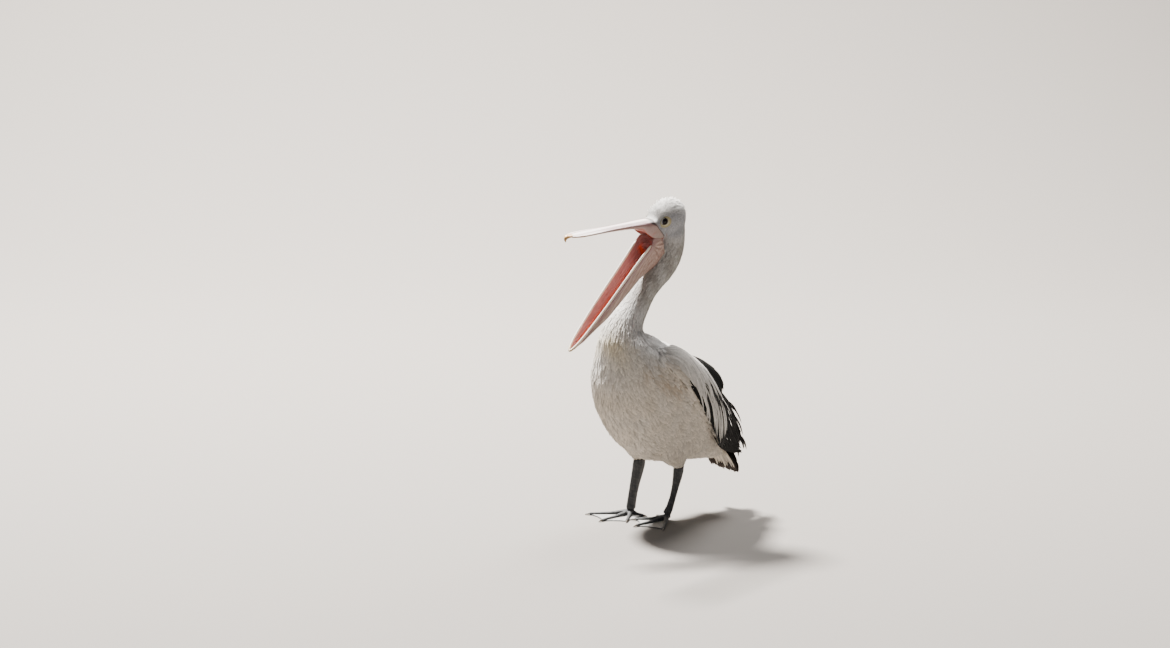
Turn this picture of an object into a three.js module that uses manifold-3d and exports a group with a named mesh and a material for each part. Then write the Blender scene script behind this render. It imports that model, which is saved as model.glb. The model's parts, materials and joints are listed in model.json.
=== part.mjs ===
// A life-size Australian pelican (Pelecanus conspicillatus), standing upright with its bill held wide open.
// Units are millimetres. The bird faces -Y, its left side is +X and up is +Z. It stands on Z = 0.
import * as THREE from "three";
import { mergeVertices } from "three/addons/utils/BufferGeometryUtils.js";
import Module from "manifold-3d";

const wasm = await Module();
wasm.setup();

// ---------------------------------------------------------------- driving dimensions
const CULMEN_LENGTH = 392; // feather edge on the forehead to the front of the nail
const MANDIBLE_LENGTH = 379; // straight part of the lower jaw
const HEAD_YAW = 17.6; // degrees, the head turns to the bird's left
const HEAD_PITCH = 0.5; // degrees, the upper bill points this far above level
const HEAD_ROLL = 9; // degrees, the left cheek leans down
const GAPE_ANGLE = 43; // degrees between the upper bill and the lower jaw
const CULMEN_BASE = [14, -13, 822]; // where the upper bill leaves the forehead
const JAW_START = [0, -26, -64]; // front of the gape, from the culmen base, in the head's own frame
const EYE_PLACE = [22, 20, -3]; // left eye's centre, from the culmen base, in the head's own frame
const EYE_RADIUS = 9.5;
const FEATHER_EDGE_NORMAL = [0, 53, 38]; // the feather edge slopes down and back from the culmen to the gape
const POUCH_WALL = 2.4;
const RAMUS_HALF_WIDTH = 2.3;
const RAMUS_HALF_HEIGHT = 4.6;
const LEG_CUT = 24; // height of the joint between the shank and the foot
const TOE_ANGLES = [44, 2, -35, -98]; // degrees outward from straight ahead: outer, middle, inner and hind toe
const TOE_LENGTHS = [126, 125, 98, 55]; // with the claws
const TOE_NAMES = ["outer", "middle", "inner", "hind"];
const CLAW_LENGTH = 12;
const WEB_THICKNESS = 2.2;
const WEB_SAG = 0.07; // how far the web's free edges draw back towards the ankle
const FEET = { left: { ankle: [50, 13], turn: 3 }, right: { ankle: [-58, -28], turn: -10 } };
const BODY_PLACE = [19, -15, 5]; // the body's own frame, measured from the floor between the feet
const GAP = 0.4; // clearance between neighbouring pieces
const BLADE_GAP = 3 * GAP; // clearance between overlapping feathered parts
const DORSAL = new THREE.Vector3(0, 0.94, 0.34); // way from the tail's underside to its back

// How finely each shape is faceted: steps along it, then sides round it.
const BODY_FACETS = [31, 20];
const HEAD_FACETS = [15, 18];
const BILL_FACETS = [15, 12];
const NAIL_FACETS = [7, 8];
const JAW_FACETS = [32, 6];
const POUCH_FACETS = [12, 12];
const WING_STEPS = 9;
const FEATHER_STEPS = 6;
const BLADE_SIDES = 12;
const TAIL_FACETS = [6, 12];
const THIGH_FACETS = [6, 12];
const LEG_FACETS = [7, 8];
const TOE_FACETS = [3, 6];
const EYE_FACETS = [12, 7]; // round it, then from pole to pole
// How square a section is: 2 is an ellipse.
const HEAD_POWER = 2.2;
const BILL_POWER = 2.3;
const CHEEK_POWER = 4; // the bill's deep base has flat sides
const CHEEK_LENGTH = 0.2; // they round off over this share of the culmen
const POUCH_POWER = 2.2;

// A toe from inside the ankle to its claw: reach as a share of the bare toe, height, half width, half height.
const TOE_ROWS = [
  [-0.06, 12, 9, 9],
  [0.12, 9, 7, 7.5],
  [0.5, 4.6, 5, 5],
  [1, 3.8, 4, 4],
];
// A claw: reach as a share of its length, then as for a toe.
const CLAW_ROWS = [
  [0, 3.6, 2.8, 3.2],
  [0.5, 3.2, 2, 2.6],
  [1, 1.4, 0.7, 0.9],
];
const WEB_SETBACK = 3; // the web stops this far short of each claw
const WEB_CURVE_STEPS = 3;

// The body from the rump to the top of the neck: x, y, z of its axis, then half its width,
// and its reach from the axis to the back and to the belly.
const BODY_ROWS = [
  [0, 226, 160, 34, 20, 30],
  [0, 198, 194, 60, 40, 69],
  [0, 152, 238, 88, 76, 114],
  [0, 95, 283, 116, 114, 155],
  [0, 35, 328, 132, 134, 180],
  [0, -15, 376, 137, 129, 172],
  [0, -50, 424, 128, 106, 149],
  [0, -74, 468, 107, 78, 116],
  [-1, -90, 504, 79, 53, 84],
  [-2, -90, 534, 55, 45, 57],
  [-3, -75, 561, 44, 40, 45],
  [-5, -52, 590, 37, 37, 39],
  [-7, -24, 625, 33, 33, 34],
  [-9, 6, 655, 32, 36, 33],
  [-10, 38, 684, 33, 40, 35],
  [-10, 60, 718, 35, 41, 36],
  [-10, 70, 756, 35, 40, 36],
  [-10, 72, 795, 33, 38, 34],
];
const NECK_START = 8.5; // row of BODY_ROWS where the neck begins

// The head from the bill's base to the nape, in the head's own frame: y, half width,
// height of the widest level, reach above it and reach below it.
const HEAD_ROWS = [
  [-25, 20, -8, 6, 14],
  [-5, 23.5, -10, 11, 24],
  [5, 26, -8, 20, 34],
  [15, 28.5, -6, 30, 44],
  [30, 32, -4, 37, 50],
  [50, 37.5, -4, 44, 50],
  [70, 41.5, -5, 50, 46],
  [90, 42, -6, 51, 42],
  [108, 37, -8, 45, 37],
  [121, 28, -10, 33, 29],
  [131, 11, -12, 15, 14],
];

// The upper bill: distance forward as a share of the culmen, half width, top and bottom heights.
const BILL_ROWS = [
  [-0.08, 27, 1, -57],
  [0, 26, 2, -55],
  [0.06, 24.5, 2, -48],
  [0.12, 23.5, 2, -36],
  [0.18, 22, 2, -20],
  [0.3, 19, 1.5, -14.5],
  [0.45, 17.5, 1, -12],
  [0.6, 18, 0.5, -10.5],
  [0.75, 20, 0, -9.5],
  [0.86, 20, -0.5, -9],
  [0.92, 15.5, -1, -8.5],
  [0.95, 11, -1, -8],
];

// The nail at the bill's tip: share of the culmen, height, half width, half thickness.
const NAIL_ROWS = [
  [0.95, -4.5, 10.5, 3.4],
  [0.98, -5, 8, 4.2],
  [0.995, -8, 5.5, 3.8],
  [0.997, -13, 3.6, 2.8],
  [0.99, -18, 1.4, 1.4],
];

// The lower jaw: share of its length, half the spread of its two sides, depth of the pouch.
const JAW_ROWS = [
  [-0.22, 27, 98],
  [-0.1, 26.5, 102],
  [0, 25, 92],
  [0.1, 23.5, 74],
  [0.2, 22, 62],
  [0.4, 20.5, 54],
  [0.6, 18.5, 44],
  [0.76, 15.5, 27],
  [0.88, 12, 16],
  [0.96, 7, 7],
];
const POUCH_BULGE = 3; // how far the pouch stands outside the jaw's sides
const BULGE_DEPTH = 40; // where the pouch is deeper than this it has the full bulge
const POUCH_TOP_REACH = 20; // the pouch is made this much too high, then cut off under the rim

// Flat feathered parts of the left side: the place of the upper or inner edge, the place of the
// lower or outer edge, how far the middle bows outward, and half the thickness.
const WING_ROWS = [
  [92, -44, 492, 112, -60, 458, 3, 6],
  [78, 8, 486, 138, -40, 425, 14, 10],
  [64, 62, 457, 145, -5, 385, 21, 11],
  [54, 116, 418, 142, 35, 332, 23, 11],
  [48, 161, 370, 130, 75, 280, 21, 10],
  [46, 192, 317, 114, 112, 232, 17, 9],
  [50, 203, 266, 99, 142, 197, 11, 7],
  [64, 196, 218, 86, 166, 180, 4, 3],
];
const FLIGHT_ROWS = [
  [38, 184, 356, 92, 104, 296, 9, 5.5],
  [32, 230, 309, 92, 132, 246, 8, 5.5],
  [28, 260, 262, 84, 156, 208, 6, 5.5],
  [29, 276, 223, 73, 187, 178, 4, 4],
  [33, 285, 188, 62, 226, 161, 2, 3],
  [42, 288, 161, 52, 270, 149, 1, 2],
];
const SCAPULAR_ROWS = [
  [22, 68, 446, 64, 60, 450, 2, 5],
  [12, 131, 423, 62, 120, 418, 4, 7],
  [6, 183, 391, 57, 166, 373, 7, 9],
  [10, 209, 370, 54, 187, 349, 5, 7],
  [22, 222, 352, 50, 198, 332, 2, 3],
];
// The tail: x, y and z of its middle line, half its width and half its thickness.
const TAIL_ROWS = [
  [0, 188, 238, 24, 10],
  [0, 214, 196, 36, 9],
  [0, 234, 162, 52, 7],
  [0, 250, 131, 62, 5],
  [0, 257, 114, 60, 4],
  [0, 261, 105, 48, 2.5],
];
// Feathered shins, in the body's frame, and bare shanks, in the floor's: x, y, z,
// half the width across and half the depth fore and aft.
const THIGH_ROWS = {
  left: [
    [52, 10, 250, 44, 62],
    [52, 28, 206, 42, 56],
    [50, 44, 172, 30, 36],
    [48, 52, 153, 17, 21],
    [46, 54, 143, 12, 15],
  ],
  right: [
    [-58, -10, 250, 44, 60],
    [-60, -6, 208, 42, 54],
    [-61, -1, 178, 29, 34],
    [-62, 1, 161, 16, 20],
    [-62, 1, 151, 12, 15],
  ],
};
const LEG_ROWS = {
  left: [
    [67, 42, 166, 9, 12],
    [66, 40, 146, 11, 16],
    [65, 37, 122, 9.5, 14],
    [62, 30, 86, 6.5, 10],
    [57, 21, 46, 6.5, 9.5],
    [50, 13, 18, 9.5, 13],
  ],
  right: [
    [-40, -10, 172, 10.5, 14],
    [-41, -12, 152, 12.5, 19],
    [-44, -15, 126, 11.5, 18],
    [-50, -21, 86, 9, 15],
    [-55, -26, 46, 8.5, 13.5],
    [-58, -28, 18, 10.5, 14.5],
  ],
};

// ---------------------------------------------------------------- materials
const finish = (color, roughness) =>
  new THREE.MeshStandardMaterial({ color, roughness, metalness: 0 });
const WHITE_PLUMAGE = finish(0xe9e4da, 0.85);
const BLACK_PLUMAGE = finish(0x15130f, 0.6);
const BILL_PINK = finish(0xd9a79b, 0.45);
const POUCH_PINK = finish(0xc48878, 0.5);
const JAW_CREAM = finish(0xe8d6bd, 0.45);
const NAIL_HORN = finish(0xb98a4a, 0.4);
const LEG_GREY = finish(0x4c5258, 0.6);
const CLAW_DARK = finish(0x2a2724, 0.5);
const EYE_BROWN = finish(0x140d08, 0.08);

// ---------------------------------------------------------------- shape tools
const vector = (p) => new THREE.Vector3(...p);

/** Smooth curve through rows of numbers, read at u from 0 to rows.length - 1. */
function readRows(rows, u) {
  const last = rows.length - 1;
  const i = Math.min(Math.max(Math.floor(u), 0), last - 1);
  const t = u - i;
  const row = (k) => rows[Math.min(Math.max(k, 0), last)];
  return rows[i].map((_, c) => {
    const [a, b, d, e] = [i - 1, i, i + 1, i + 2].map((k) => row(k)[c]);
    return b + 0.5 * t * (d - a + t * (2 * a - 5 * b + 4 * d - e + t * (3 * (b - d) + e - a)));
  });
}

/** Rows read at count + 1 even steps between two row numbers. */
function readEvenly(rows, count, from = 0, to = rows.length - 1) {
  return Array.from({ length: count + 1 }, (_, k) => readRows(rows, from + ((to - from) * k) / count));
}

/** An oval ring of points: power 2 is an ellipse, and more is squarer. */
function oval(centre, side, up, halfSide, reachUp, reachDown, count, power = 2) {
  const bulge = (v) => Math.sign(v) * Math.abs(v) ** (2 / power);
  return Array.from({ length: count }, (_, k) => {
    const angle = (2 * Math.PI * k) / count;
    const rise = bulge(Math.cos(angle));
    return centre
      .clone()
      .addScaledVector(side, bulge(Math.sin(angle)) * halfSide)
      .addScaledVector(up, rise * (rise > 0 ? reachUp : reachDown));
  });
}

/** A closed skin over rings that all have the same number of points. */
function loft(rings) {
  const n = rings[0].length;
  const points = rings.flat();
  const faces = [];
  for (let i = 0; i + 1 < rings.length; i++)
    for (let j = 0; j < n; j++) {
      const [a, b] = [i * n + j, i * n + ((j + 1) % n)];
      faces.push([a, b, b + n], [a, b + n, a + n]);
    }
  for (const [first, flip] of [[0, true], [(rings.length - 1) * n, false]]) {
    const middle = points.length;
    const centre = new THREE.Vector3();
    for (let j = 0; j < n; j++) centre.addScaledVector(points[first + j], 1 / n);
    points.push(centre);
    for (let j = 0; j < n; j++) {
      const [a, b] = [first + j, first + ((j + 1) % n)];
      faces.push(flip ? [middle, b, a] : [middle, a, b]);
    }
  }
  return closedGeometry(points, faces);
}

/** A geometry from points and triangles, turned so that its faces point out. */
function closedGeometry(points, faces) {
  let volume = 0;
  for (const [a, b, c] of faces) volume += points[a].dot(points[b].clone().cross(points[c]));
  const outward = volume < 0 ? faces.map(([a, b, c]) => [a, c, b]) : faces;
  return new THREE.BufferGeometry()
    .setAttribute("position", new THREE.Float32BufferAttribute(points.flatMap((p) => p.toArray()), 3))
    .setIndex(outward.flat());
}

/** A manifold-3d solid from a closed geometry, placed by a matrix if one is given. */
function solid(geometry, matrix) {
  const bare = new THREE.BufferGeometry()
    .setAttribute("position", geometry.getAttribute("position").clone())
    .setIndex(geometry.index.clone());
  if (matrix) bare.applyMatrix4(matrix);
  const merged = mergeVertices(bare, 1e-3);
  return new wasm.Manifold(
    new wasm.Mesh({
      numProp: 3,
      vertProperties: merged.attributes.position.array,
      triVerts: new Uint32Array(merged.index.array),
    }),
  );
}

/** The largest body of a solid: what a cut leaves beside it is dropped. */
function largest(shape) {
  return shape.decompose().reduce((best, body) => (body.volume() > best.volume() ? body : best));
}

/** A half space: a very large block whose face passes through a point, on the side the normal points to. */
function halfSpace(point, normal, setBack = 0) {
  const size = 3000;
  const turn = new THREE.Quaternion().setFromUnitVectors(new THREE.Vector3(0, 0, 1), normal);
  const place = point.clone().addScaledVector(normal, size / 2 + setBack);
  return solid(
    new THREE.BoxGeometry(size, size, size),
    new THREE.Matrix4().compose(place, turn, new THREE.Vector3(1, 1, 1)),
  );
}

/** A sphere with shared vertices. */
function mergedSphere(radius) {
  const ball = new THREE.SphereGeometry(radius, ...EYE_FACETS);
  ball.deleteAttribute("normal");
  ball.deleteAttribute("uv");
  return mergeVertices(ball, radius * 1e-4);
}

/** A named mesh from a solid. */
function piece(name, shape, material) {
  const { numProp, vertProperties, triVerts } = largest(shape).getMesh();
  const positions = new Float32Array((vertProperties.length / numProp) * 3);
  for (let i = 0; i < positions.length / 3; i++)
    positions.set(vertProperties.subarray(i * numProp, i * numProp + 3), i * 3);
  const geometry = new THREE.BufferGeometry()
    .setAttribute("position", new THREE.BufferAttribute(positions, 3))
    .setIndex(new THREE.BufferAttribute(triVerts, 1));
  geometry.computeVertexNormals();
  const mesh = new THREE.Mesh(geometry, material);
  mesh.name = name;
  return mesh;
}

/** A tapering rod through places [x, y, z, half width, half height], its height along up. */
function rod(rows, steps, sides, up = new THREE.Vector3(0, 0, 1), grow = 0) {
  const read = readEvenly(rows, steps);
  return loft(
    read.map(([x, y, z, half, height], k) => {
      const [before, after] = [read[Math.max(k - 1, 0)], read[Math.min(k + 1, steps)]];
      const along = vector(after.slice(0, 3)).sub(vector(before.slice(0, 3))).normalize();
      const side = along.clone().cross(up).normalize();
      const rise = side.clone().cross(along);
      return oval(new THREE.Vector3(x, y, z), side, rise, half + grow, height + grow, height + grow, sides);
    }),
  );
}

// ---------------------------------------------------------------- trunk and neck
/** The body's axis, its sideways and backward directions and its reaches, at row number u. */
function bodyFrame(u) {
  const [x, y, z, half, back, belly] = readRows(BODY_ROWS, u);
  const step = 0.05;
  const along = vector(readRows(BODY_ROWS, u + step).slice(0, 3))
    .sub(vector(readRows(BODY_ROWS, u - step).slice(0, 3)))
    .normalize();
  const side = new THREE.Vector3(1, 0, 0).addScaledVector(along, -along.x).normalize();
  const dorsal = along.clone().cross(side);
  return { centre: new THREE.Vector3(x, y, z), along, side, dorsal, half, back, belly };
}

function bodyLoft(grow = 0) {
  const [steps, sides] = BODY_FACETS;
  const last = BODY_ROWS.length - 1;
  return loft(
    Array.from({ length: steps + 1 }, (_, k) => {
      const { centre, side, dorsal, half, back, belly } = bodyFrame((last * k) / steps);
      return oval(centre, side, dorsal, half + grow, back + grow, belly + grow, sides);
    }),
  );
}

const wholeBody = solid(bodyLoft());
const grownBody = solid(bodyLoft(GAP));
const neckCut = bodyFrame(NECK_START);
const trunk = wholeBody.intersect(halfSpace(neckCut.centre, neckCut.along.clone().negate(), GAP / 2));

// ---------------------------------------------------------------- head
const headGroup = new THREE.Group();
headGroup.position.set(...CULMEN_BASE);
headGroup.rotation.set(
  THREE.MathUtils.degToRad(-HEAD_PITCH),
  THREE.MathUtils.degToRad(HEAD_ROLL),
  THREE.MathUtils.degToRad(HEAD_YAW),
  "ZXY",
);
headGroup.updateMatrix();

const jawGroup = new THREE.Group();
jawGroup.position.set(...JAW_START);
jawGroup.rotation.x = THREE.MathUtils.degToRad(GAPE_ANGLE);
jawGroup.updateMatrix();
headGroup.add(jawGroup);
const jawInBody = headGroup.matrix.clone().multiply(jawGroup.matrix);
const jawInHead = jawGroup.matrix.clone();

const X_AXIS = new THREE.Vector3(1, 0, 0);
const Z_AXIS = new THREE.Vector3(0, 0, 1);

function headLoft(grow = 0) {
  return loft(
    readEvenly(HEAD_ROWS, HEAD_FACETS[0]).map(([y, half, level, above, below]) => {
      const reaches = [half + grow, above + grow, below + grow];
      return oval(new THREE.Vector3(0, y, level), X_AXIS, Z_AXIS, ...reaches, HEAD_FACETS[1], HEAD_POWER);
    }),
  );
}

function billLoft(grow = 0) {
  return loft(
    readEvenly(BILL_ROWS, BILL_FACETS[0]).map(([share, half, top, bottom]) => {
      const middle = (top + bottom) / 2;
      const reach = (top - bottom) / 2 + grow;
      const centre = new THREE.Vector3(0, -share * CULMEN_LENGTH, middle);
      const forward = THREE.MathUtils.smoothstep(share, 0, CHEEK_LENGTH);
      const power = THREE.MathUtils.lerp(CHEEK_POWER, BILL_POWER, forward);
      return oval(centre, X_AXIS, Z_AXIS, half + grow, reach, reach, BILL_FACETS[1], power);
    }),
  );
}

// The feather edge runs from the culmen's base down and back to the corner of the gape.
const featherEdge = vector(FEATHER_EDGE_NORMAL).normalize();
const behindEdge = halfSpace(new THREE.Vector3(), featherEdge, GAP / 2);
const beforeEdge = halfSpace(new THREE.Vector3(), featherEdge.clone().negate(), GAP / 2);

const socket = (side) => {
  const place = new THREE.Matrix4().makeTranslation(side * EYE_PLACE[0], EYE_PLACE[1], EYE_PLACE[2]);
  return solid(mergedSphere(EYE_RADIUS + GAP), place);
};
const skull = solid(headLoft()).intersect(behindEdge).subtract(socket(1)).subtract(socket(-1));
const upperBill = solid(billLoft()).add(solid(headLoft()).intersect(beforeEdge)).intersect(beforeEdge);
headGroup.add(piece("head", skull, WHITE_PLUMAGE));
headGroup.add(piece("bill_upper", upperBill, BILL_PINK));

for (const [name, side] of [["eye_left", 1], ["eye_right", -1]]) {
  const eye = new THREE.Mesh(mergedSphere(EYE_RADIUS), EYE_BROWN);
  eye.position.set(side * EYE_PLACE[0], EYE_PLACE[1], EYE_PLACE[2]);
  eye.name = name;
  headGroup.add(eye);
}

const nailRows = NAIL_ROWS.map(([share, z, half, thick]) => [0, -share * CULMEN_LENGTH - GAP, z, half, thick]);
headGroup.add(piece("bill_nail", solid(rod(nailRows, ...NAIL_FACETS, Z_AXIS)), NAIL_HORN));

// ---------------------------------------------------------------- lower jaw and pouch
/** The mouth's outline seen from above: one side of the jaw, round the tip and back along the other. */
function jawRodRows() {
  const side = JAW_ROWS.slice(1).map(([share, half]) => [half, -share * MANDIBLE_LENGTH]);
  const tip = [[0, -MANDIBLE_LENGTH]];
  const other = side.map(([x, y]) => [-x, y]).reverse();
  return [...side, ...tip, ...other].map(([x, y]) => [x, y, 0, RAMUS_HALF_WIDTH, RAMUS_HALF_HEIGHT]);
}

function pouchLoft(inset, topReach) {
  const top = -RAMUS_HALF_HEIGHT;
  return loft(
    readEvenly(JAW_ROWS, POUCH_FACETS[0]).map(([share, half, depth]) => {
      const width = half + POUCH_BULGE * Math.min(1, depth / BULGE_DEPTH) - inset;
      const centre = new THREE.Vector3(0, -share * MANDIBLE_LENGTH, top);
      return oval(centre, X_AXIS, Z_AXIS, width, topReach, depth - inset, POUCH_FACETS[1], POUCH_POWER);
    }),
  );
}

const headInJaw = jawInHead.clone().invert();
const grownSkull = solid(headLoft(GAP)).add(solid(billLoft(GAP)));
const cheek = grownSkull.transform(headInJaw.toArray());
const throat = grownBody.transform(jawInBody.clone().invert().toArray());
const belowRim = halfSpace(new THREE.Vector3(0, 0, -RAMUS_HALF_HEIGHT), Z_AXIS.clone().negate(), GAP);
const mandible = solid(rod(jawRodRows(), ...JAW_FACETS)).subtract(cheek).subtract(throat);
const pouch = solid(pouchLoft(0, POUCH_TOP_REACH))
  .subtract(solid(pouchLoft(POUCH_WALL, 2 * POUCH_TOP_REACH)))
  .intersect(belowRim)
  .subtract(cheek)
  .subtract(throat);
jawGroup.add(piece("mandible", mandible, JAW_CREAM));
jawGroup.add(piece("pouch", pouch, POUCH_PINK));

const neck = wholeBody
  .intersect(halfSpace(neckCut.centre, neckCut.along, GAP / 2))
  .subtract(grownSkull.transform(headGroup.matrix.toArray()));

// ---------------------------------------------------------------- wings, back and tail
/** A flat feathered part between an upper and a lower edge, bowed outward; side is 1 for left, -1 for right. */
function blade(rows, steps, side, grow = 0) {
  const read = readEvenly(rows, steps);
  const middle = (row) => vector(row.slice(0, 3)).add(vector(row.slice(3, 6))).multiplyScalar(0.5);
  const rings = read.map((row, k) => {
    const upper = vector(row.slice(0, 3));
    const lower = vector(row.slice(3, 6));
    const along = middle(read[Math.min(k + 1, steps)]).sub(middle(read[Math.max(k - 1, 0)]));
    const chord = lower.clone().sub(upper);
    const outward = along.clone().cross(chord).normalize();
    if (outward.x < 0) outward.negate();
    const halfChord = chord.length() / 2 + grow;
    chord.normalize();
    const [bow, thick] = [row[6], row[7] + grow];
    return oval(new THREE.Vector3(), chord, outward, 1, 1, 1, BLADE_SIDES).map((unit) => {
      const across = unit.dot(chord);
      const through = unit.dot(outward);
      const place = middle(row)
        .addScaledVector(chord, across * halfChord)
        .addScaledVector(outward, through * thick + bow * (1 - across * across));
      return new THREE.Vector3(side * place.x, place.y, place.z);
    });
  });
  return loft(rings);
}

const bird = new THREE.Group();
const figure = new THREE.Group();
figure.position.set(...BODY_PLACE);
bird.add(figure);
figure.add(headGroup);
const addPiece = (name, shape, material) => figure.add(piece(name, shape, material));
const addToFloor = (name, shape, material) => bird.add(piece(name, shape, material));

let taken = grownBody;
for (const [word, side] of [["left", 1], ["right", -1]]) {
  addPiece("wing_" + word, solid(blade(WING_ROWS, WING_STEPS, side)).subtract(grownBody), WHITE_PLUMAGE);
  taken = taken.add(solid(blade(WING_ROWS, WING_STEPS, side, BLADE_GAP)));
}
addPiece("tail", solid(rod(TAIL_ROWS, ...TAIL_FACETS, DORSAL)).subtract(grownBody), BLACK_PLUMAGE);
taken = taken.add(solid(rod(TAIL_ROWS, ...TAIL_FACETS, DORSAL, GAP)));
for (const [part, rows] of [["scapulars_", SCAPULAR_ROWS], ["flight_", FLIGHT_ROWS]])
  for (const [word, side] of [["left", 1], ["right", -1]]) {
    addPiece(part + word, solid(blade(rows, FEATHER_STEPS, side)).subtract(taken), BLACK_PLUMAGE);
    taken = taken.add(solid(blade(rows, FEATHER_STEPS, side, BLADE_GAP)));
  }

// ---------------------------------------------------------------- legs and feet
const FORWARD = new THREE.Vector3(0, -1, 0);
const aboveFloor = halfSpace(new THREE.Vector3(), Z_AXIS);
const aboveCut = halfSpace(new THREE.Vector3(0, 0, LEG_CUT), Z_AXIS, GAP / 2);
const belowCut = halfSpace(new THREE.Vector3(0, 0, LEG_CUT), Z_AXIS.clone().negate(), GAP / 2);

/** A place on the floor, a distance from the ankle along a direction outward from straight ahead. */
function floorPoint({ ankle, turn }, side, angle, distance) {
  const heading = THREE.MathUtils.degToRad(angle + turn);
  return new THREE.Vector2(
    ankle[0] + side * distance * Math.sin(heading),
    ankle[1] - distance * Math.cos(heading),
  );
}

/** The web's outline: out to the end of each toe, with edges between them drawn back to the ankle. */
function webGeometry(foot, side) {
  const reach = (k) => TOE_LENGTHS[k] - CLAW_LENGTH - WEB_SETBACK;
  const ends = TOE_ANGLES.map((angle, k) => floorPoint(foot, side, angle, reach(k)));
  const ankle = new THREE.Vector2(...foot.ankle);
  const outline = new THREE.Shape().moveTo(ankle.x, ankle.y).lineTo(ends[0].x, ends[0].y);
  for (let k = 1; k < ends.length; k++) {
    const bend = ends[k - 1].clone().add(ends[k]).multiplyScalar(0.5).lerp(ankle, 2 * WEB_SAG);
    outline.quadraticCurveTo(bend.x, bend.y, ends[k].x, ends[k].y);
  }
  outline.closePath();
  const web = new THREE.ExtrudeGeometry(outline, {
    depth: WEB_THICKNESS,
    bevelEnabled: false,
    curveSegments: WEB_CURVE_STEPS,
  });
  web.deleteAttribute("normal");
  web.deleteAttribute("uv");
  return mergeVertices(web);
}

/** A rod along a toe's direction, from rows whose reach is a share of length beyond start. */
function toeRod(foot, side, angle, rows, start, length) {
  const places = rows.map(([share, z, half, height]) => {
    const place = floorPoint(foot, side, angle, start + share * length);
    return [place.x, place.y, z, half, height];
  });
  return rod(places, ...TOE_FACETS);
}

const toeGeometry = (foot, side, angle, length) =>
  toeRod(foot, side, angle, TOE_ROWS, 0, length - CLAW_LENGTH - GAP);
const clawGeometry = (foot, side, angle, length) =>
  toeRod(foot, side, angle, CLAW_ROWS, length - CLAW_LENGTH, CLAW_LENGTH);

for (const [word, side] of [["left", 1], ["right", -1]]) {
  const foot = FEET[word];
  const thigh = (grow) => solid(rod(THIGH_ROWS[word], ...THIGH_FACETS, FORWARD, grow));
  addPiece("thigh_" + word, thigh(0).subtract(grownBody), WHITE_PLUMAGE);
  const feathered = thigh(GAP).add(grownBody).translate(BODY_PLACE);
  const shank = solid(rod(LEG_ROWS[word], ...LEG_FACETS, FORWARD)).subtract(feathered);
  addToFloor("leg_" + word, shank.intersect(aboveCut), LEG_GREY);
  let sole = solid(webGeometry(foot, side)).add(shank.intersect(belowCut));
  TOE_ANGLES.forEach((angle, k) => {
    sole = sole.add(solid(toeGeometry(foot, side, angle, TOE_LENGTHS[k])));
    const claw = solid(clawGeometry(foot, side, angle, TOE_LENGTHS[k])).intersect(aboveFloor);
    addToFloor("claw_" + TOE_NAMES[k] + "_" + word, claw, CLAW_DARK);
  });
  addToFloor("foot_" + word, sole.intersect(belowCut).intersect(aboveFloor), LEG_GREY);
}

addPiece("trunk", trunk, WHITE_PLUMAGE);
addPiece("neck", neck, WHITE_PLUMAGE);

// The origin is on the floor, under the middle of the whole bird's bounding box.
const middle = new THREE.Box3().setFromObject(bird, true).getCenter(new THREE.Vector3());
bird.position.set(-middle.x, -middle.y, 0);

export default bird;
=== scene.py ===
"""The looks of a life-size Australian pelican with its bill wide open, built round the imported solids."""
import json
import math

import bmesh
import bpy
import numpy as np
from mathutils import Euler, Matrix, Vector
from mathutils.bvhtree import BVHTree
from mathutils.kdtree import KDTree

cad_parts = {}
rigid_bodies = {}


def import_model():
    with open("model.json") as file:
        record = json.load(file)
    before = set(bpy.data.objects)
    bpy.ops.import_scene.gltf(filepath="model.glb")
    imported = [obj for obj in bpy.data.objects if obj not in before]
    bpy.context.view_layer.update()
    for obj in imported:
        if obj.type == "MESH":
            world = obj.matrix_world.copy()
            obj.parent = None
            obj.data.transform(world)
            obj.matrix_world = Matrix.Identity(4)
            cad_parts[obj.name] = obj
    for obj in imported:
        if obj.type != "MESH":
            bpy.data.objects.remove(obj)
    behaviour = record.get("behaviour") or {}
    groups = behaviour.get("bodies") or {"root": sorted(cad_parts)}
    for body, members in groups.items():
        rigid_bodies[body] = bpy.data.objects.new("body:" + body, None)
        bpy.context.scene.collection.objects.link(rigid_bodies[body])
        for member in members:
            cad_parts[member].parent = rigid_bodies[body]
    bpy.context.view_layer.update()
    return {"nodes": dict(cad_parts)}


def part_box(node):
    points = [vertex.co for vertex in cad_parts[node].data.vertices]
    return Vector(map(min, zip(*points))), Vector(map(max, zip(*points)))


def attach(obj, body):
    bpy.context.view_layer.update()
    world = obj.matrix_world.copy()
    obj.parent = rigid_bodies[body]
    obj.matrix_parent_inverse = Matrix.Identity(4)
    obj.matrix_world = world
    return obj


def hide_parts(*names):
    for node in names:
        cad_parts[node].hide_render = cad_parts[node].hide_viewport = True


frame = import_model()
MM = 0.001
rng = np.random.default_rng(7)

# ---------------------------------------------------------------- driving dimensions, in millimetres
CULMEN_LENGTH = 392
MANDIBLE_LENGTH = 379
HEAD_TURN = (-0.5, 9, 17.6)  # degrees about the head's x, y and z axes
GAPE_ANGLE = 43  # degrees
CULMEN_BASE = (14, -13, 822)  # in the body's frame
JAW_START = (0, -26, -64)  # in the head's frame
EYE_PLACE = (22, 20, -3)  # in the head's frame
EYE_RADIUS = 9.5
BODY_PLACE = (19, -15, 5)  # the body's frame, from the floor between the feet
RIM_DEPTH = 4.6  # half the height of the lower jaw's side
# The face's feathers end on a line that falls back from the culmen to the gape.
EDGE_SLOPE = np.array([0, 37, 46]) / np.hypot(37, 46)

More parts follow.
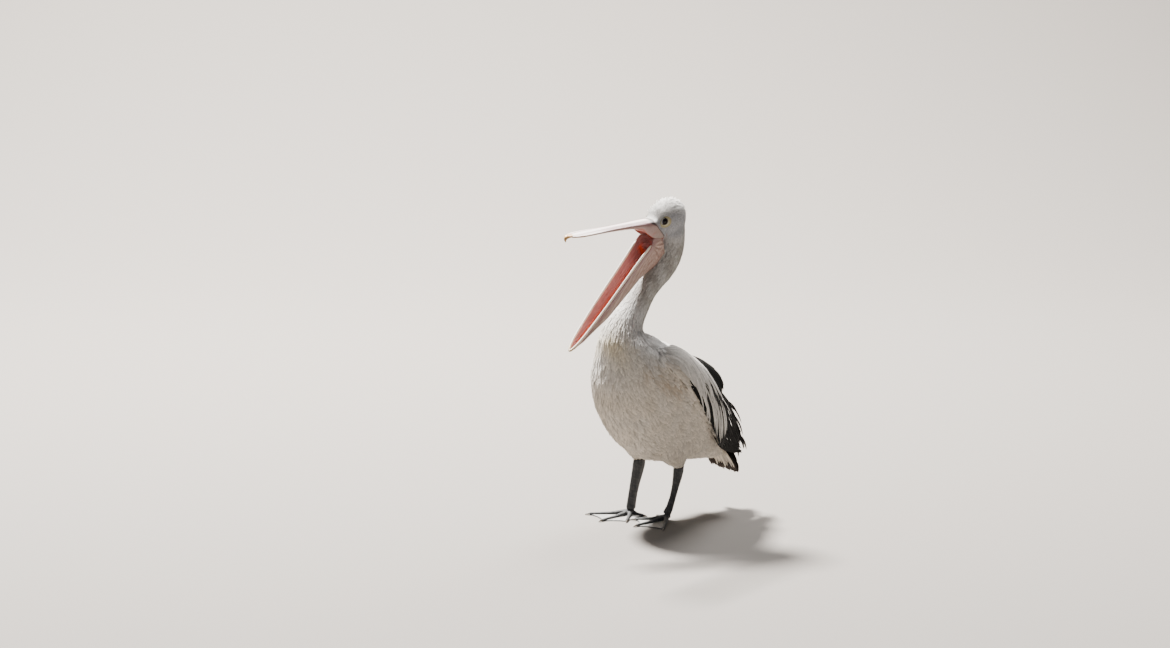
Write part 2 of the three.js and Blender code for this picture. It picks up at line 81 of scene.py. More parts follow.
# The head from the bill's base to the nape, in the head's frame: y, half width,
# height of the widest level, reach above it and reach below it.
HEAD_ROWS = [
    [-25, 20, -8, 6, 14],
    [-5, 23.5, -10, 11, 24],
    [5, 26, -8, 20, 34],
    [15, 28.5, -6, 30, 44],
    [30, 32, -4, 37, 50],
    [50, 37.5, -4, 44, 50],
    [70, 41.5, -5, 50, 46],
]
# The upper bill: distance forward as a share of the culmen, half width, top and bottom heights.
BILL_ROWS = [
    [-0.08, 27, 1, -57],
    [0, 26, 2, -55],
    [0.06, 24.5, 2, -48],
    [0.12, 23.5, 2, -36],
    [0.18, 22, 2, -20],
    [0.3, 19, 1.5, -14.5],
    [0.45, 17.5, 1, -12],
    [0.6, 18, 0.5, -10.5],
    [0.75, 20, 0, -9.5],
    [0.86, 20, -0.5, -9],
    [0.92, 15.5, -1, -8.5],
    [0.955, 11, -1, -8],
]
NAIL_ROWS = [
    [0.93, -3.0, 9, 2.4],
    [0.955, -3.6, 9.5, 3.6],
    [0.98, -5, 8, 4.2],
    [0.995, -8, 5.5, 3.8],
    [0.998, -13, 3.6, 2.8],
    [0.99, -18.5, 1.2, 1.2],
]
# The lower jaw: share of its length, half the spread of its two sides, depth of the pouch.
JAW_ROWS = [
    [-0.22, 27, 98],
    [-0.1, 26.5, 102],
    [0, 25, 92],
    [0.1, 23.5, 74],
    [0.2, 22, 62],
    [0.4, 20.5, 54],
    [0.6, 18.5, 44],
    [0.76, 15.5, 27],
    [0.88, 12, 16],
    [0.96, 7, 7],
]
POUCH_BULGE = 3
POUCH_WALL = 1.6
POUCH_ROUND = 2.2  # how square its section is; 2 would be an oval
# Upper edge of the pouch skin, in the jaw's frame: y, z. It rises in a fold to the corner of the
# gape, then follows the cheek down and back.
POUCH_TOP = [[-400, -3.1], [-6, -3.1], [8, 4], [18, 7], [34, -9], [51, -28], [66, -44]]
POUCH_REAR = 58  # how far back the pouch skin reaches at the rim's level
POUCH_REAR_SLOPE = 0.25  # and how much less far for each millimetre down
# Left wing, flight feathers and scapulars: upper or inner edge, lower or outer edge,
# how far the middle bows outward, half the thickness. Body's frame.
WING_ROWS = [
    [92, -44, 492, 112, -60, 458, 3, 6],
    [78, 8, 486, 138, -40, 425, 14, 10],
    [64, 62, 457, 145, -5, 385, 21, 11],
    [54, 116, 418, 142, 35, 332, 23, 11],
    [48, 161, 370, 130, 75, 280, 21, 10],
    [46, 192, 317, 114, 112, 232, 17, 9],
    [50, 203, 266, 99, 142, 197, 11, 7],
    [64, 196, 218, 86, 166, 180, 4, 3],
]
FLIGHT_ROWS = [
    [38, 184, 356, 92, 104, 296, 9, 5.5],
    [32, 230, 309, 92, 132, 246, 8, 5.5],
    [28, 260, 262, 84, 156, 208, 6, 5.5],
    [29, 276, 223, 73, 187, 178, 4, 4],
    [33, 285, 188, 62, 226, 161, 2, 3],
    [42, 288, 161, 52, 270, 149, 1, 2],
]
SCAPULAR_ROWS = [
    [22, 68, 446, 64, 60, 450, 2, 5],
    [12, 131, 423, 62, 120, 418, 4, 7],
    [6, 183, 391, 57, 166, 373, 7, 9],
    [10, 209, 370, 54, 187, 349, 5, 7],
    [22, 222, 352, 50, 198, 332, 2, 3],
]
TAIL_ROWS = [
    [0, 188, 238, 24, 10],
    [0, 214, 196, 36, 9],
    [0, 234, 162, 52, 7],
    [0, 250, 131, 62, 5],
    [0, 257, 114, 60, 4],
    [0, 261, 105, 48, 2.5],
]
TAIL_BACK = np.array([0, 0.94, 0.34])  # way from the tail's underside to its back

# ---------------------------------------------------------------- frames
tip, tilt, turn = (math.radians(a) for a in HEAD_TURN)
head_matrix = Matrix.Rotation(turn, 3, "Z") @ Matrix.Rotation(tip, 3, "X") @ Matrix.Rotation(tilt, 3, "Y")
HEAD_AXES = np.array(head_matrix)
JAW_AXES = HEAD_AXES @ np.array(Matrix.Rotation(math.radians(GAPE_ANGLE), 3, "X"))
eye_low, eye_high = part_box("eye_left")
HEAD_ORIGIN = np.array((eye_low + eye_high) / 2) / MM - HEAD_AXES @ np.array(EYE_PLACE)
BODY_ORIGIN = HEAD_ORIGIN - np.array(CULMEN_BASE)
FLOOR_ORIGIN = BODY_ORIGIN - np.array(BODY_PLACE)
JAW_ORIGIN = HEAD_ORIGIN + HEAD_AXES @ np.array(JAW_START)


def from_head(points):
    """Head frame in millimetres to the part's frame in metres."""
    return (np.asarray(points, float) @ HEAD_AXES.T + HEAD_ORIGIN) * MM


def to_head(points):
    return (np.asarray(points) / MM - HEAD_ORIGIN) @ HEAD_AXES


def from_jaw(points):
    return (np.asarray(points, float) @ JAW_AXES.T + JAW_ORIGIN) * MM


def to_jaw(points):
    return (np.asarray(points) / MM - JAW_ORIGIN) @ JAW_AXES


def from_body(points):
    return (np.asarray(points, float) + BODY_ORIGIN) * MM


def to_body(points):
    return np.asarray(points) / MM - BODY_ORIGIN


# ---------------------------------------------------------------- numbers
def read_rows(rows, u):
    """Smooth curve through rows of numbers, read at an array of row numbers u."""
    rows = np.asarray(rows, float)
    u = np.atleast_1d(np.asarray(u, float))
    last = len(rows) - 1
    i = np.clip(np.floor(u).astype(int), 0, last - 1)
    t = (u - i)[:, None]
    a, b, d, e = (rows[np.clip(i + k, 0, last)] for k in (-1, 0, 1, 2))
    return b + 0.5 * t * (d - a + t * (2 * a - 5 * b + 4 * d - e + t * (3 * (b - d) + e - a)))


def read_table(rows, x):
    """Straight-line reading of rows by their first column; one array for each further column."""
    rows = np.asarray(rows, float)
    return [np.interp(x, rows[:, 0], rows[:, k]) for k in range(1, rows.shape[1])]


def unit(v):
    return v / np.maximum(np.linalg.norm(v, axis=-1, keepdims=True), 1e-12)


def ramp(x, low, high):
    """Smooth step from 0 at low to 1 at high."""
    t = np.clip((x - low) / (high - low), 0, 1)
    return t * t * (3 - 2 * t)


def bump_at(x, centre, width):
    return np.exp(-(((x - centre) / width) ** 2))


def squared(v, power):
    """Sine or cosine bent so that a circle becomes squarer; 2 leaves it round."""
    return np.sign(v) * np.abs(v) ** (2 / power)


def waves(points, scale, seed, rounds=5):
    """Smooth pseudo-random field between about -1 and 1: a sum of slanted sine waves."""
    source = np.random.default_rng(seed)
    total = np.zeros(len(points))
    for _ in range(rounds):
        way = unit(source.normal(size=3))
        pitch = 2 * math.pi / scale * source.uniform(0.6, 1.7)
        total += np.sin(points @ way * pitch + source.uniform(0, 6.3))
    return total / rounds * 1.4


def share_waves(points, scale, seed):
    """The same field between about 0 and 1."""
    return 0.5 + 0.5 * waves(points, scale, seed)


# ---------------------------------------------------------------- mesh tools
def read_array(collection, name, width=1, kind=np.int32):
    """One field of every item in a mesh's collection."""
    values = np.empty(len(collection) * width, kind)
    collection.foreach_get(name, values)
    return values.reshape(-1, width) if width > 1 else values


def into_scene(name, data):
    item = bpy.data.objects.new(name, data)
    bpy.context.scene.collection.objects.link(item)
    return item


def new_object(name, points, faces, material=None):
    """A smooth mesh object from points in metres and faces that all have the same number of corners."""
    mesh = bpy.data.meshes.new(name)
    mesh.vertices.add(len(points))
    mesh.vertices.foreach_set("co", np.asarray(points, np.float32).ravel())
    mesh.loops.add(faces.size)
    mesh.loops.foreach_set("vertex_index", faces.astype(np.int32).ravel())
    mesh.polygons.add(len(faces))
    mesh.polygons.foreach_set("loop_start", np.arange(0, faces.size, faces.shape[1], dtype=np.int32))
    mesh.update(calc_edges=True)
    mesh.shade_smooth()
    if material:
        mesh.materials.append(material)
    return into_scene(name, mesh)


def points_of(item):
    return read_array(item.data.vertices, "co", 3, np.float32).astype(float)


def set_points(item, points):
    item.data.vertices.foreach_set("co", np.asarray(points, np.float32).ravel())
    item.data.update()


def normals_of(item):
    return read_array(item.data.vertex_normals, "vector", 3, np.float32).astype(float)


def triangles_of(item):
    item.data.calc_loop_triangles()
    return read_array(item.data.loop_triangles, "vertices", 3)


def set_value(item, name, values):
    """A number for each vertex, which the material reads by name."""
    layer = item.data.attributes.new(name, "FLOAT", "POINT")
    layer.data.foreach_set("value", np.asarray(values, np.float32))


def set_colour(item, values):
    """The material's tone for each vertex."""
    full = np.ones((len(values), 4), np.float32)
    full[:, :3] = values
    layer = item.data.attributes.new("tone", "FLOAT_COLOR", "POINT")
    layer.data.foreach_set("color", full.ravel())


def set_uv(item, per_vertex):
    """An OFBake map from one place for each vertex."""
    corners = read_array(item.data.loops, "vertex_index")
    layer = item.data.uv_layers.new(name="OFBake")
    layer.uv.foreach_set("vector", per_vertex[corners].astype(np.float32).ravel())


def join_all(parts):
    """One pair of arrays from several (points, triangles) pairs."""
    points, faces, base = [], [], 0
    for some, three in parts:
        points.append(some)
        faces.append(three + base)
        base += len(some)
    return np.concatenate(points), np.concatenate(faces)


def joined_nodes(names):
    """The vertices and triangles of several frame nodes, as one pair of arrays."""
    items = [frame["nodes"][name] for name in names]
    return join_all([(points_of(item), triangles_of(item)) for item in items])


def remade(item, voxel, rounds, factor=0.5):
    """The object's mesh made again on an even grid and smoothed."""
    remesh = item.modifiers.new("even", "REMESH")
    remesh.mode = "VOXEL"
    remesh.voxel_size = voxel * MM
    smooth = item.modifiers.new("smooth", "SMOOTH")
    smooth.iterations = rounds
    smooth.factor = factor
    made = bpy.data.meshes.new_from_object(item.evaluated_get(bpy.context.evaluated_depsgraph_get()))
    old = item.data
    item.modifiers.clear()
    made.materials.clear()
    for material in old.materials:
        made.materials.append(material)
    item.data = made
    made.name = item.name
    made.shade_smooth()
    bpy.data.meshes.remove(old)
    return item


def soften(item, weight, rounds):
    """Moves each vertex towards the middle of its neighbours, more where weight is near 1."""
    a, b = read_array(item.data.edges, "vertices", 2).T
    points = points_of(item)
    total = len(points)
    neighbours = np.maximum(np.bincount(a, minlength=total) + np.bincount(b, minlength=total), 1)
    for _ in range(rounds):
        for axis in range(3):
            value = points[:, axis]
            around = np.bincount(a, value[b], total) + np.bincount(b, value[a], total)
            points[:, axis] = value + 0.5 * weight * (around / neighbours - value)
    set_points(item, points)


def grid_faces(rows, columns):
    """Quads over a grid of points whose last column meets the first."""
    i, j = np.meshgrid(np.arange(rows - 1), np.arange(columns), indexing="ij")
    after = (j + 1) % columns
    low, high = i * columns, (i + 1) * columns
    return np.stack([low + j, low + after, high + after, high + j], -1).reshape(-1, 4)


def facing_out(points, faces):
    """The faces, turned over if they enclose the points from the wrong side."""
    a, b, c = (points[faces[:, k]] for k in range(3))
    return faces if np.einsum("ij,ij->i", a, np.cross(b, c)).sum() > 0 else faces[:, ::-1]


def tube(rings):
    """Points and triangles of a closed skin over rings [row, point, 3], with a cap at each end."""
    rows, columns = rings.shape[:2]
    quads = grid_faces(rows, columns)
    points = np.concatenate([rings.reshape(-1, 3), rings[0].mean(0)[None], rings[-1].mean(0)[None]])
    j = np.arange(columns)
    after = (j + 1) % columns
    first, last = rows * columns, rows * columns + 1
    end_row = (rows - 1) * columns
    start = np.stack([np.full(columns, first), after, j], -1)
    end = np.stack([np.full(columns, last), j + end_row, after + end_row], -1)
    faces = np.concatenate([quads[:, [0, 1, 2]], quads[:, [0, 2, 3]], start, end])
    return points, facing_out(points, faces)


def rod_rings(path, half, height, sides, power=2.0):
    """Oval rings along a path; half is their reach to the side and height their reach up and down."""
    along = unit(np.gradient(path, axis=0))
    side = unit(np.cross(along, (0, 0, 1.0)))
    rise = np.cross(side, along)
    angle = np.linspace(0, 2 * math.pi, sides, endpoint=False)
    across = squared(np.sin(angle), power)[None, :, None] * half[:, None, None] * side[:, None, :]
    upward = squared(np.cos(angle), power)[None, :, None] * height[:, None, None] * rise[:, None, :]
    return path[:, None, :] + across + upward


def unwrap(item):
    """An OFBake map from the object's own shape."""
    for other in bpy.context.view_layer.objects:
        other.select_set(False)
    item.select_set(True)
    bpy.context.view_layer.objects.active = item
    item.data.uv_layers.new(name="OFBake")
    bpy.ops.object.mode_set(mode="EDIT")
    bpy.ops.mesh.select_all(action="SELECT")
    bpy.ops.uv.smart_project(angle_limit=math.radians(66), island_margin=0.002)
    bpy.ops.object.mode_set(mode="OBJECT")


def finish_piece(item, slot, *nodes):
    """Hangs a piece on the still body and hides the nodes that it stands in for; slot is not used."""
    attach(item, "root")
    if nodes:
        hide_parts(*nodes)
    return item


def mix(values, other, share):
    """Tones or directions moved towards another by a share for each point."""
    return values * (1 - share[:, None]) + other * share[:, None]


def painted(count, base, *layers):
    """Tones for a number of points: a base with (colour, share) layers mixed over it in order."""
    tones = np.tile(np.asarray(base), (count, 1))
    for colour, share in layers:
        tones = mix(tones, np.asarray(colour), share)
    return tones


def finish_painted(item, tones, slot, *nodes):
    set_colour(item, tones)
    unwrap(item)
    return finish_piece(item, slot, *nodes)


# ---------------------------------------------------------------- materials
class Shader:
    """A node material: one Principled shader, with helpers that add nodes to it."""

    def __init__(self, name, roughness, **settings):
        self.material = bpy.data.materials.new(name)
        self.material.use_nodes = True
        self.nodes = self.material.node_tree.nodes
        self.links = self.material.node_tree.links
        self.surface = self.nodes["Principled BSDF"]
        self.surface.inputs["Roughness"].default_value = roughness
        for key, value in settings.items():
            self.surface.inputs[key.replace("_", " ")].default_value = value
        self.place = self.nodes.new("ShaderNodeTexCoord").outputs["Object"]

    def attribute(self, name, output="Fac"):
        node = self.nodes.new("ShaderNodeAttribute")
        node.attribute_name = name
        return node.outputs[output]

    def math(self, operation, *values):
        node = self.nodes.new("ShaderNodeMath")
        node.operation = operation
        for socket, value in zip(node.inputs, values):
            if isinstance(value, float):
                socket.default_value = value
            else:
                self.links.new(value, socket)
        return node.outputs[0]

    def texture(self, kind, **settings):
        """A texture node over the object's own space."""
        node = self.nodes.new(kind)
        for key, value in settings.items():
            node.inputs[key].default_value = value
        self.links.new(self.place, node.inputs["Vector"])
        return node

    def noise(self, scale, detail):
        node = self.texture("ShaderNodeTexNoise", Scale=scale, Detail=detail, Roughness=0.55)
        return node.outputs["Fac"]

    def seams(self, scale):
        """Distance from the borders between small cells."""
        node = self.texture("ShaderNodeTexVoronoi", Scale=scale)
        node.feature = "DISTANCE_TO_EDGE"
        return node.outputs["Distance"]

    def span(self, value, low, high, out_low=0.0, out_high=1.0):
        node = self.nodes.new("ShaderNodeMapRange")
        for socket, number in zip(node.inputs[1:5], (low, high, out_low, out_high)):
            socket.default_value = number
        self.links.new(value, node.inputs[0])
        return node.outputs[0]

    def tinted(self, level):
        """Colours the surface by the piece's own tones, made lighter and darker by level."""
        grey = self.nodes.new("ShaderNodeCombineColor")
        for socket in grey.inputs:
            self.links.new(level, socket)
        node = self.nodes.new("ShaderNodeMix")
        node.data_type = "RGBA"
        node.blend_type = "MULTIPLY"
        node.inputs[0].default_value = 1.0
        self.links.new(self.attribute("tone", "Color"), node.inputs[6])
        self.links.new(grey.outputs[0], node.inputs[7])
        self.links.new(node.outputs[2], self.surface.inputs["Base Color"])

    def bump(self, height, distance):
        """A bump in metres, laid over any bump made before."""
        node = self.nodes.new("ShaderNodeBump")
        node.inputs["Strength"].default_value = 1.0
        node.inputs["Distance"].default_value = distance
        self.links.new(height, node.inputs["Height"])
        before = self.surface.inputs["Normal"].links
        if before:
            self.links.new(before[0].from_socket, node.inputs["Normal"])
        self.links.new(node.outputs[0], self.surface.inputs["Normal"])


def plumage_material(name, roughness, contrast, sheen):
    """Feather web: the piece's own tones, with barbs, soft streaks and a tint for each vane that also paints
    shade at its root and edges.
    """
    shader = Shader(name, roughness, Sheen_Weight=sheen, Sheen_Roughness=0.6, Specular_IOR_Level=0.12)
    streaks = shader.span(shader.noise(210, 3.0), 0.35, 0.65, 1 - contrast, 1 + contrast * 0.4)
    patches = shader.span(shader.noise(26, 3.0), 0.3, 0.7, 1 - contrast * 0.6, 1.0)
    # Painted shade: the vane value darkens each vane's root and edges.
    vane = shader.span(shader.attribute("vane"), 0.0, 1.0, 1 - 2.4 * contrast, 1 + contrast)
    shader.tinted(shader.math("MULTIPLY", shader.math("MULTIPLY", streaks, patches), vane))
    barbs = shader.math("SINE", shader.math("MULTIPLY", shader.attribute("barb"), 2 * math.pi))
    shader.bump(barbs, 0.00012)
    shader.bump(shader.noise(420, 3.0), 0.0004)
    return shader.material


def skin_material(name, roughness, fine, depth, coat=0.0, **settings):
    """Bare skin and horn: the piece's own tones, mottled, with fine wrinkles."""
    shader = Shader(name, roughness, Coat_Weight=coat, Coat_Roughness=0.25, **settings)
    shader.tinted(shader.span(shader.noise(fine * 0.35, 5.0), 0.3, 0.7, 0.86, 1.06))
    worn = shader.span(shader.noise(fine * 0.5, 3.0), 0.3, 0.7, roughness * 0.85, roughness * 1.2)
    shader.links.new(worn, shader.surface.inputs["Roughness"])
    shader.bump(shader.noise(fine, 5.0), depth)
    return shader.material


def scaled_material(name, roughness, scale):
    """Leg skin: small plates with dark seams between them."""
    shader = Shader(name, roughness, Specular_IOR_Level=0.4)
    seams = shader.span(shader.seams(scale), 0.0, 0.12, 0.62, 1.0)
    mottle = shader.span(shader.noise(120, 4.0), 0.3, 0.7, 0.8, 1.12)
    shader.tinted(shader.math("MULTIPLY", seams, mottle))
    shader.bump(shader.span(shader.seams(scale), 0.0, 0.2), 0.0005)
    shader.bump(shader.noise(900, 3.0), 0.0001)
    return shader.material


PLUMAGE = {
    "white_plumage": plumage_material("white_plumage", 0.85, 0.15, 0.1),
    "black_plumage": plumage_material("black_plumage", 0.6, 0.3, 0.0),
}
bill_horn = skin_material("bill_horn", 0.38, 500, 0.00012, coat=0.25)
nail_horn = skin_material("nail_horn", 0.35, 700, 0.0001, coat=0.3)
jaw_horn = skin_material("jaw_horn", 0.42, 500, 0.00012, coat=0.2)
pouch_skin = skin_material("pouch_skin", 0.48, 260, 0.0003, coat=0.15)
ring_skin = skin_material("ring_skin", 0.5, 900, 0.0002)
leg_skin = scaled_material("leg_skin", 0.6, 300)
claw_horn = skin_material("claw_horn", 0.4, 600, 0.0001)
eye_gloss = skin_material("eye_gloss", 0.07, 900, 0.00001, Specular_IOR_Level=0.16)

# ---------------------------------------------------------------- lie of the coat
def head_to_body(place):
    return to_body(from_head(place))


# The bird's middle line from the forehead to the tail, in the body's frame.
SPINE = np.array([
    head_to_body((0, 0, -10)),
    head_to_body((0, 50, 0)),
    head_to_body((0, 92, -16)),
    (-10, 72, 775),
    (-10, 70, 745),
    (-10, 60, 718),
    (-10, 38, 684),
    (-9, 6, 655),
    (-7, -24, 625),
    (-5, -52, 590),
    (-3, -75, 561),
    (-2, -90, 534),
    (-1, -90, 504),
    (0, -74, 468),
    (0, -50, 424),
    (0, -15, 376),
    (0, 35, 328),
    (0, 95, 283),
    (0, 152, 238),
    (0, 198, 194),
    (0, 226, 160),
    (0, 244, 125),
])
# Coat along the middle line: row of SPINE, spacing, length, half width and lift of the tips,
# and how deep the skin lies under the solids.
COAT_ROWS = [
    [0, 2.3, 7, 1.3, 0.6, 1.4],
    [1, 2.6, 9, 1.5, 0.9, 1.6],
    [2, 2.8, 11, 1.6, 1.0, 1.8],
    [4, 3.2, 14, 1.8, 1.1, 1.8],
    [9, 3.7, 19, 2.2, 1.3, 2.0],
    [11, 4.5, 24, 2.7, 2.0, 2.5],
    [13, 5.2, 29, 3.6, 2.8, 3.1],
    [18, 5.4, 32, 4.0, 3.2, 3.4],
    [19, 5.2, 35, 3.8, 3.4, 3.4],
    [21, 5.0, 34, 3.4, 3.0, 3.0],
]
# Upper and lower end of each thigh, in the body's frame.
THIGHS = [
    ((52, 28, 206), (46, 54, 143)),
    ((-60, -6, 208), (-62, 1, 151)),
]
HEAD_END = 3  # row of SPINE where the head's plumage gives way to the neck's
LIE_REACH = 30  # the middle line's directions are blended over about this distance
LIE_BATCH = 20000  # places worked out at a time, to spare memory


def dense_spine():
    u = np.linspace(0, len(SPINE) - 1, 400)
    places = read_rows(SPINE, u)
    return u, places, unit(np.gradient(places, axis=0))


SPINE_U, SPINE_PLACES, SPINE_WAYS = dense_spine()


def wing_surface(rows, u, across, side, lift=0.0, face=1.0):
    """Places, outward directions and ways along a flat feathered part.

    across is -1 at the upper edge and 1 at the lower; face is 1 for the outer face and -1 for the inner.
    """
    step = 0.02
    read = read_rows(rows, u)
    middle = (read[:, 0:3] + read[:, 3:6]) / 2
    before, after = read_rows(rows, u - step), read_rows(rows, u + step)
    along = unit((after[:, 0:3] + after[:, 3:6]) - (before[:, 0:3] + before[:, 3:6]))
    chord = read[:, 3:6] - read[:, 0:3]
    half = np.linalg.norm(chord, axis=1) / 2
    chord = unit(chord)
    outward = unit(np.cross(along, chord))
    outward *= np.where(outward[:, 0] < 0, -1.0, 1.0)[:, None]
    c = np.clip(across, -1, 1)
    height = read[:, 6] * (1 - c * c) + face * read[:, 7] * np.sqrt(1 - c * c)
    slope = -2 * c * read[:, 6]
    normal = unit(outward - chord * (slope / half)[:, None])
    place = middle + chord * (across * half)[:, None] + outward * height[:, None]
    place = place + normal * np.reshape(lift, (-1, 1))
    flip = np.array([side, 1, 1])
    return place * flip, normal * flip, along * flip


def wing_tree():
    """Places over the outer faces of both wings, with their row, place across and the way along the wing."""
    u, c = (g.ravel() for g in np.meshgrid(np.linspace(0, 7, 90), np.linspace(-1, 1, 41), indexing="ij"))
    both = [wing_surface(WING_ROWS, u, c, side) for side in (1, -1)]
    places = np.concatenate([place for place, _, _ in both])
    tree = KDTree(len(places))
    for k, place in enumerate(places):
        tree.insert(place, k)
    tree.balance()
    return tree, np.tile(u, 2), np.tile(c, 2), np.concatenate([along for _, _, along in both])


WING_TREE, WING_U, WING_C, WING_ALONG = wing_tree()


def on_wing(body):
    """Nearest place on a wing's outer face: its distance, row, place across and the way along the wing."""
    found = [WING_TREE.find(place) for place in body]
    near = np.array([f[1] for f in found])
    return np.array([f[2] for f in found]), WING_U[near], WING_C[near], WING_ALONG[near]


def lie_of(points):
    """Direction that feathers lie in, and the row of SPINE, for places in the part's frame."""
    body = to_body(points)
    ways = np.empty_like(body)
    rows = np.empty(len(body))
    for start in range(0, len(body), LIE_BATCH):
        some = slice(start, start + LIE_BATCH)
        gaps = ((body[some][:, None, :] - SPINE_PLACES[None]) ** 2).sum(-1)
        weight = np.exp(-(gaps - gaps.min(1, keepdims=True)) / LIE_REACH**2)
        weight /= weight.sum(1, keepdims=True)
        ways[some] = weight @ SPINE_WAYS
        rows[some] = weight @ SPINE_U
    distance, row, _, along = on_wing(body)
    ways = mix(ways, along, (1 - ramp(distance, 8, 26)) * ramp(row, 0.2, 1.2))
    for high, low in THIGHS:
        high, low = np.array(high), np.array(low)
        axis = unit(low - high)
        share = np.clip((body - high) @ axis / np.linalg.norm(low - high), 0, 1)
        distance = np.linalg.norm(body - high - share[:, None] * (low - high), axis=1)
        ways = mix(ways, axis, (1 - ramp(distance, 38, 62)) * (1 - ramp(body[:, 2], 215, 245)))
    return unit(ways), rows


def coat_values(points, rows):
    """Spacing, length, half width, lift and depth of the coat at places on the skin."""
    spacing, length, half, rise, depth = read_table(COAT_ROWS, rows)
    shin = 1 - ramp(to_body(points)[:, 2], 150, 215)
    return (
        spacing - 1.8 * shin,
        length * (1 - 0.5 * shin),
        half * (1 - 0.35 * shin),
        rise,
        depth * (1 - 0.45 * shin),
    )


# ---------------------------------------------------------------- markings and painted shade
# Tones here and below are linear red, green and blue.
WHITE = np.array([0.83, 0.81, 0.78])
# Painted shade: a darker tan for the white plumage of the belly and under the tail, where it faces down.
UNDERSIDE_SHADE_TAN = np.array([0.76, 0.67, 0.56])
# Painted shade: grey over the white face, where the head's plumage does not face up.
FACE_SHADE_GREY = np.array([0.42, 0.425, 0.46])
CREAM = np.array([0.76, 0.66, 0.47])
# Grey of the real nape stripe and grey-brown feathers, also used as painted shade on the neck's sides and
# under the pouch.
NAPE_GREY_AND_SHADE = np.array([0.27, 0.235, 0.20])
PLUME_WHITE = np.array([0.84, 0.80, 0.745])
STAIN = np.array([0.46, 0.35, 0.25])
BLACK = np.array([0.0055, 0.005, 0.0045])
TAIL_BROWN = np.array([0.040, 0.024, 0.016])
MOUTH_RED = np.array([0.42, 0.06, 0.035])
# Dark spots and stains, in the body's frame: places, and for the stains their radius.
SHOULDER_SPOTS = [(116, -41, 478), (124, -46, 463)]
SPOT_RADIUS = 4.5
FLANK_STAINS = [((112, -92, 432), 26), ((128, -52, 405), 24), ((133, -25, 385), 20)]
# Painted shadows over dark feathers under the pouch's rear end, and one painted highlight of light caught by
# fluff there, in the jaw's frame: place, radius and tone.
THROAT_SHADOWS_AND_HIGHLIGHT = [
    (to_jaw(from_body((11, 26, 716))), 5, NAPE_GREY_AND_SHADE * 0.2),
    (to_jaw(from_body((7, 18, 708))), 5, NAPE_GREY_AND_SHADE * 0.25),
    (to_jaw(from_body((5, 10, 700))), 5, NAPE_GREY_AND_SHADE * 0.2),
    (to_jaw(from_body((18, 37, 727))), 5, NAPE_GREY_AND_SHADE * 0.2),
    (to_jaw(from_body((12, -9, 697))), 9, WHITE),
]


def wing_cover(row, body):
    """Place across the wing where the flank's coat begins to cover it, for places in the body's frame."""
    start = 0.82 - 0.5 * (1 - ramp(row, 2.0, 2.7)) - 0.17 * ramp(row, 4.2, 5.6)
    return start + 0.08 * waves(body, 16, 31)


def wing_dark(body):
    """Share of black on the wing, under the long white coverts."""
    dark = np.zeros(len(body))
    x, y, z = np.abs(body[:, 0]), body[:, 1], body[:, 2]
    beside = (x > 30) & (y > -20) & (z < 470) & (z > 160)
    if beside.any():
        distance, u, c, _ = on_wing(body[beside])
        start = 3.2 - 1.0 * ramp(c, 0.6, 0.8)
        bare = 1 - ramp(c - wing_cover(u, body[beside]), 0, 0.04)
        dark[beside] = ramp(u - start, 0, 0.4) * (1 - ramp(distance, 6, 11)) * bare
    return dark


def near_place(body, place, radius):
    return bump_at(np.linalg.norm(body - np.array(place), axis=1), 0, radius)


def markings_and_shade(points, rows, normals):
    """Plumage tones at places in the part's frame, with painted shade and a painted highlight among the real
    markings; the skin and every vane over it use the same rule.
    """
    body = to_body(points)
    patchy = share_waves(body, 60, 3)
    fine = share_waves(body, 9, 4)
    front, rear, top = -normals[:, 1], normals[:, 1], normals[:, 2]
    # Painted shade on the face: grey where the head's plumage faces sideways or down, while the crown stays
    # white.
    face = (1 - ramp(rows, 2.6, 3.4)) * (1 - ramp(top, 0.05, 0.6))
    breast = ramp(front, 0.1, 0.8) * bump_at(body[:, 2], 505, 60) * ramp(-body[:, 1], 60, 120)
    # The neck's sides: grey-brown mottled feathers, with painted shade from the head and pouch over them.
    sides = ramp(rows, 2.8, 4.2) * (1 - ramp(rows + 0.8 * patchy, 8.6, 10.4)) * (1 - ramp(front, 0.55, 0.95))
    nape = ramp(rear, 0.2, 0.75) * ramp(rows, 1.8, 3.2) * (1 - ramp(rows, 9.5, 12.0))
    # Painted shade on the belly: tan where it does not face up.
    belly = ramp(rows, 11.8, 13.8) * (1 - ramp(top, 0.25, 0.65))
    tones = painted(
        len(points), WHITE,
        (FACE_SHADE_GREY, face * (0.65 + 0.35 * fine)),
        (CREAM, breast * (0.35 + 0.5 * patchy)),
        (NAPE_GREY_AND_SHADE, sides * (0.30 + 0.45 * ramp(fine * 0.6 + patchy * 0.5, 0.2, 0.8))),
        (NAPE_GREY_AND_SHADE, nape * (0.55 + 0.4 * fine)),
        (UNDERSIDE_SHADE_TAN, belly * (0.75 + 0.25 * patchy)),
    )
    for place, radius in FLANK_STAINS:
        patch = near_place(body, place, radius) * 0.8
        tones = mix(tones, STAIN, patch * ramp(fine * 0.8 + patchy * 0.3, 0.3, 0.8))
    for place in SHOULDER_SPOTS:
        tones = mix(tones, NAPE_GREY_AND_SHADE * 0.4, near_place(body, place, SPOT_RADIUS))
    # Painted shadows and a painted highlight under the pouch's rear end.
    jaw = to_jaw(points)
    for place, radius, colour in THROAT_SHADOWS_AND_HIGHLIGHT:
        near = bump_at(np.linalg.norm((jaw - place) * (0.5, 1, 1), axis=1), 0, radius)
        tones = mix(tones, colour, near * ramp(fine, 0.1, 0.6))
    return mix(tones, BLACK, wing_dark(body))


# ---------------------------------------------------------------- one skin
FLESH = ["head", "neck", "trunk", "wing_left", "wing_right", "thigh_left", "thigh_right"]
LOFT_SIDES = 96  # points round the head and the bill
# Grid sizes of the meshes that are made again from the solids, in millimetres.
SKIN_VOXEL = 3.2
BILL_VOXEL = 1.1
LEG_VOXEL = 1.3
CLAW_VOXEL = 0.45
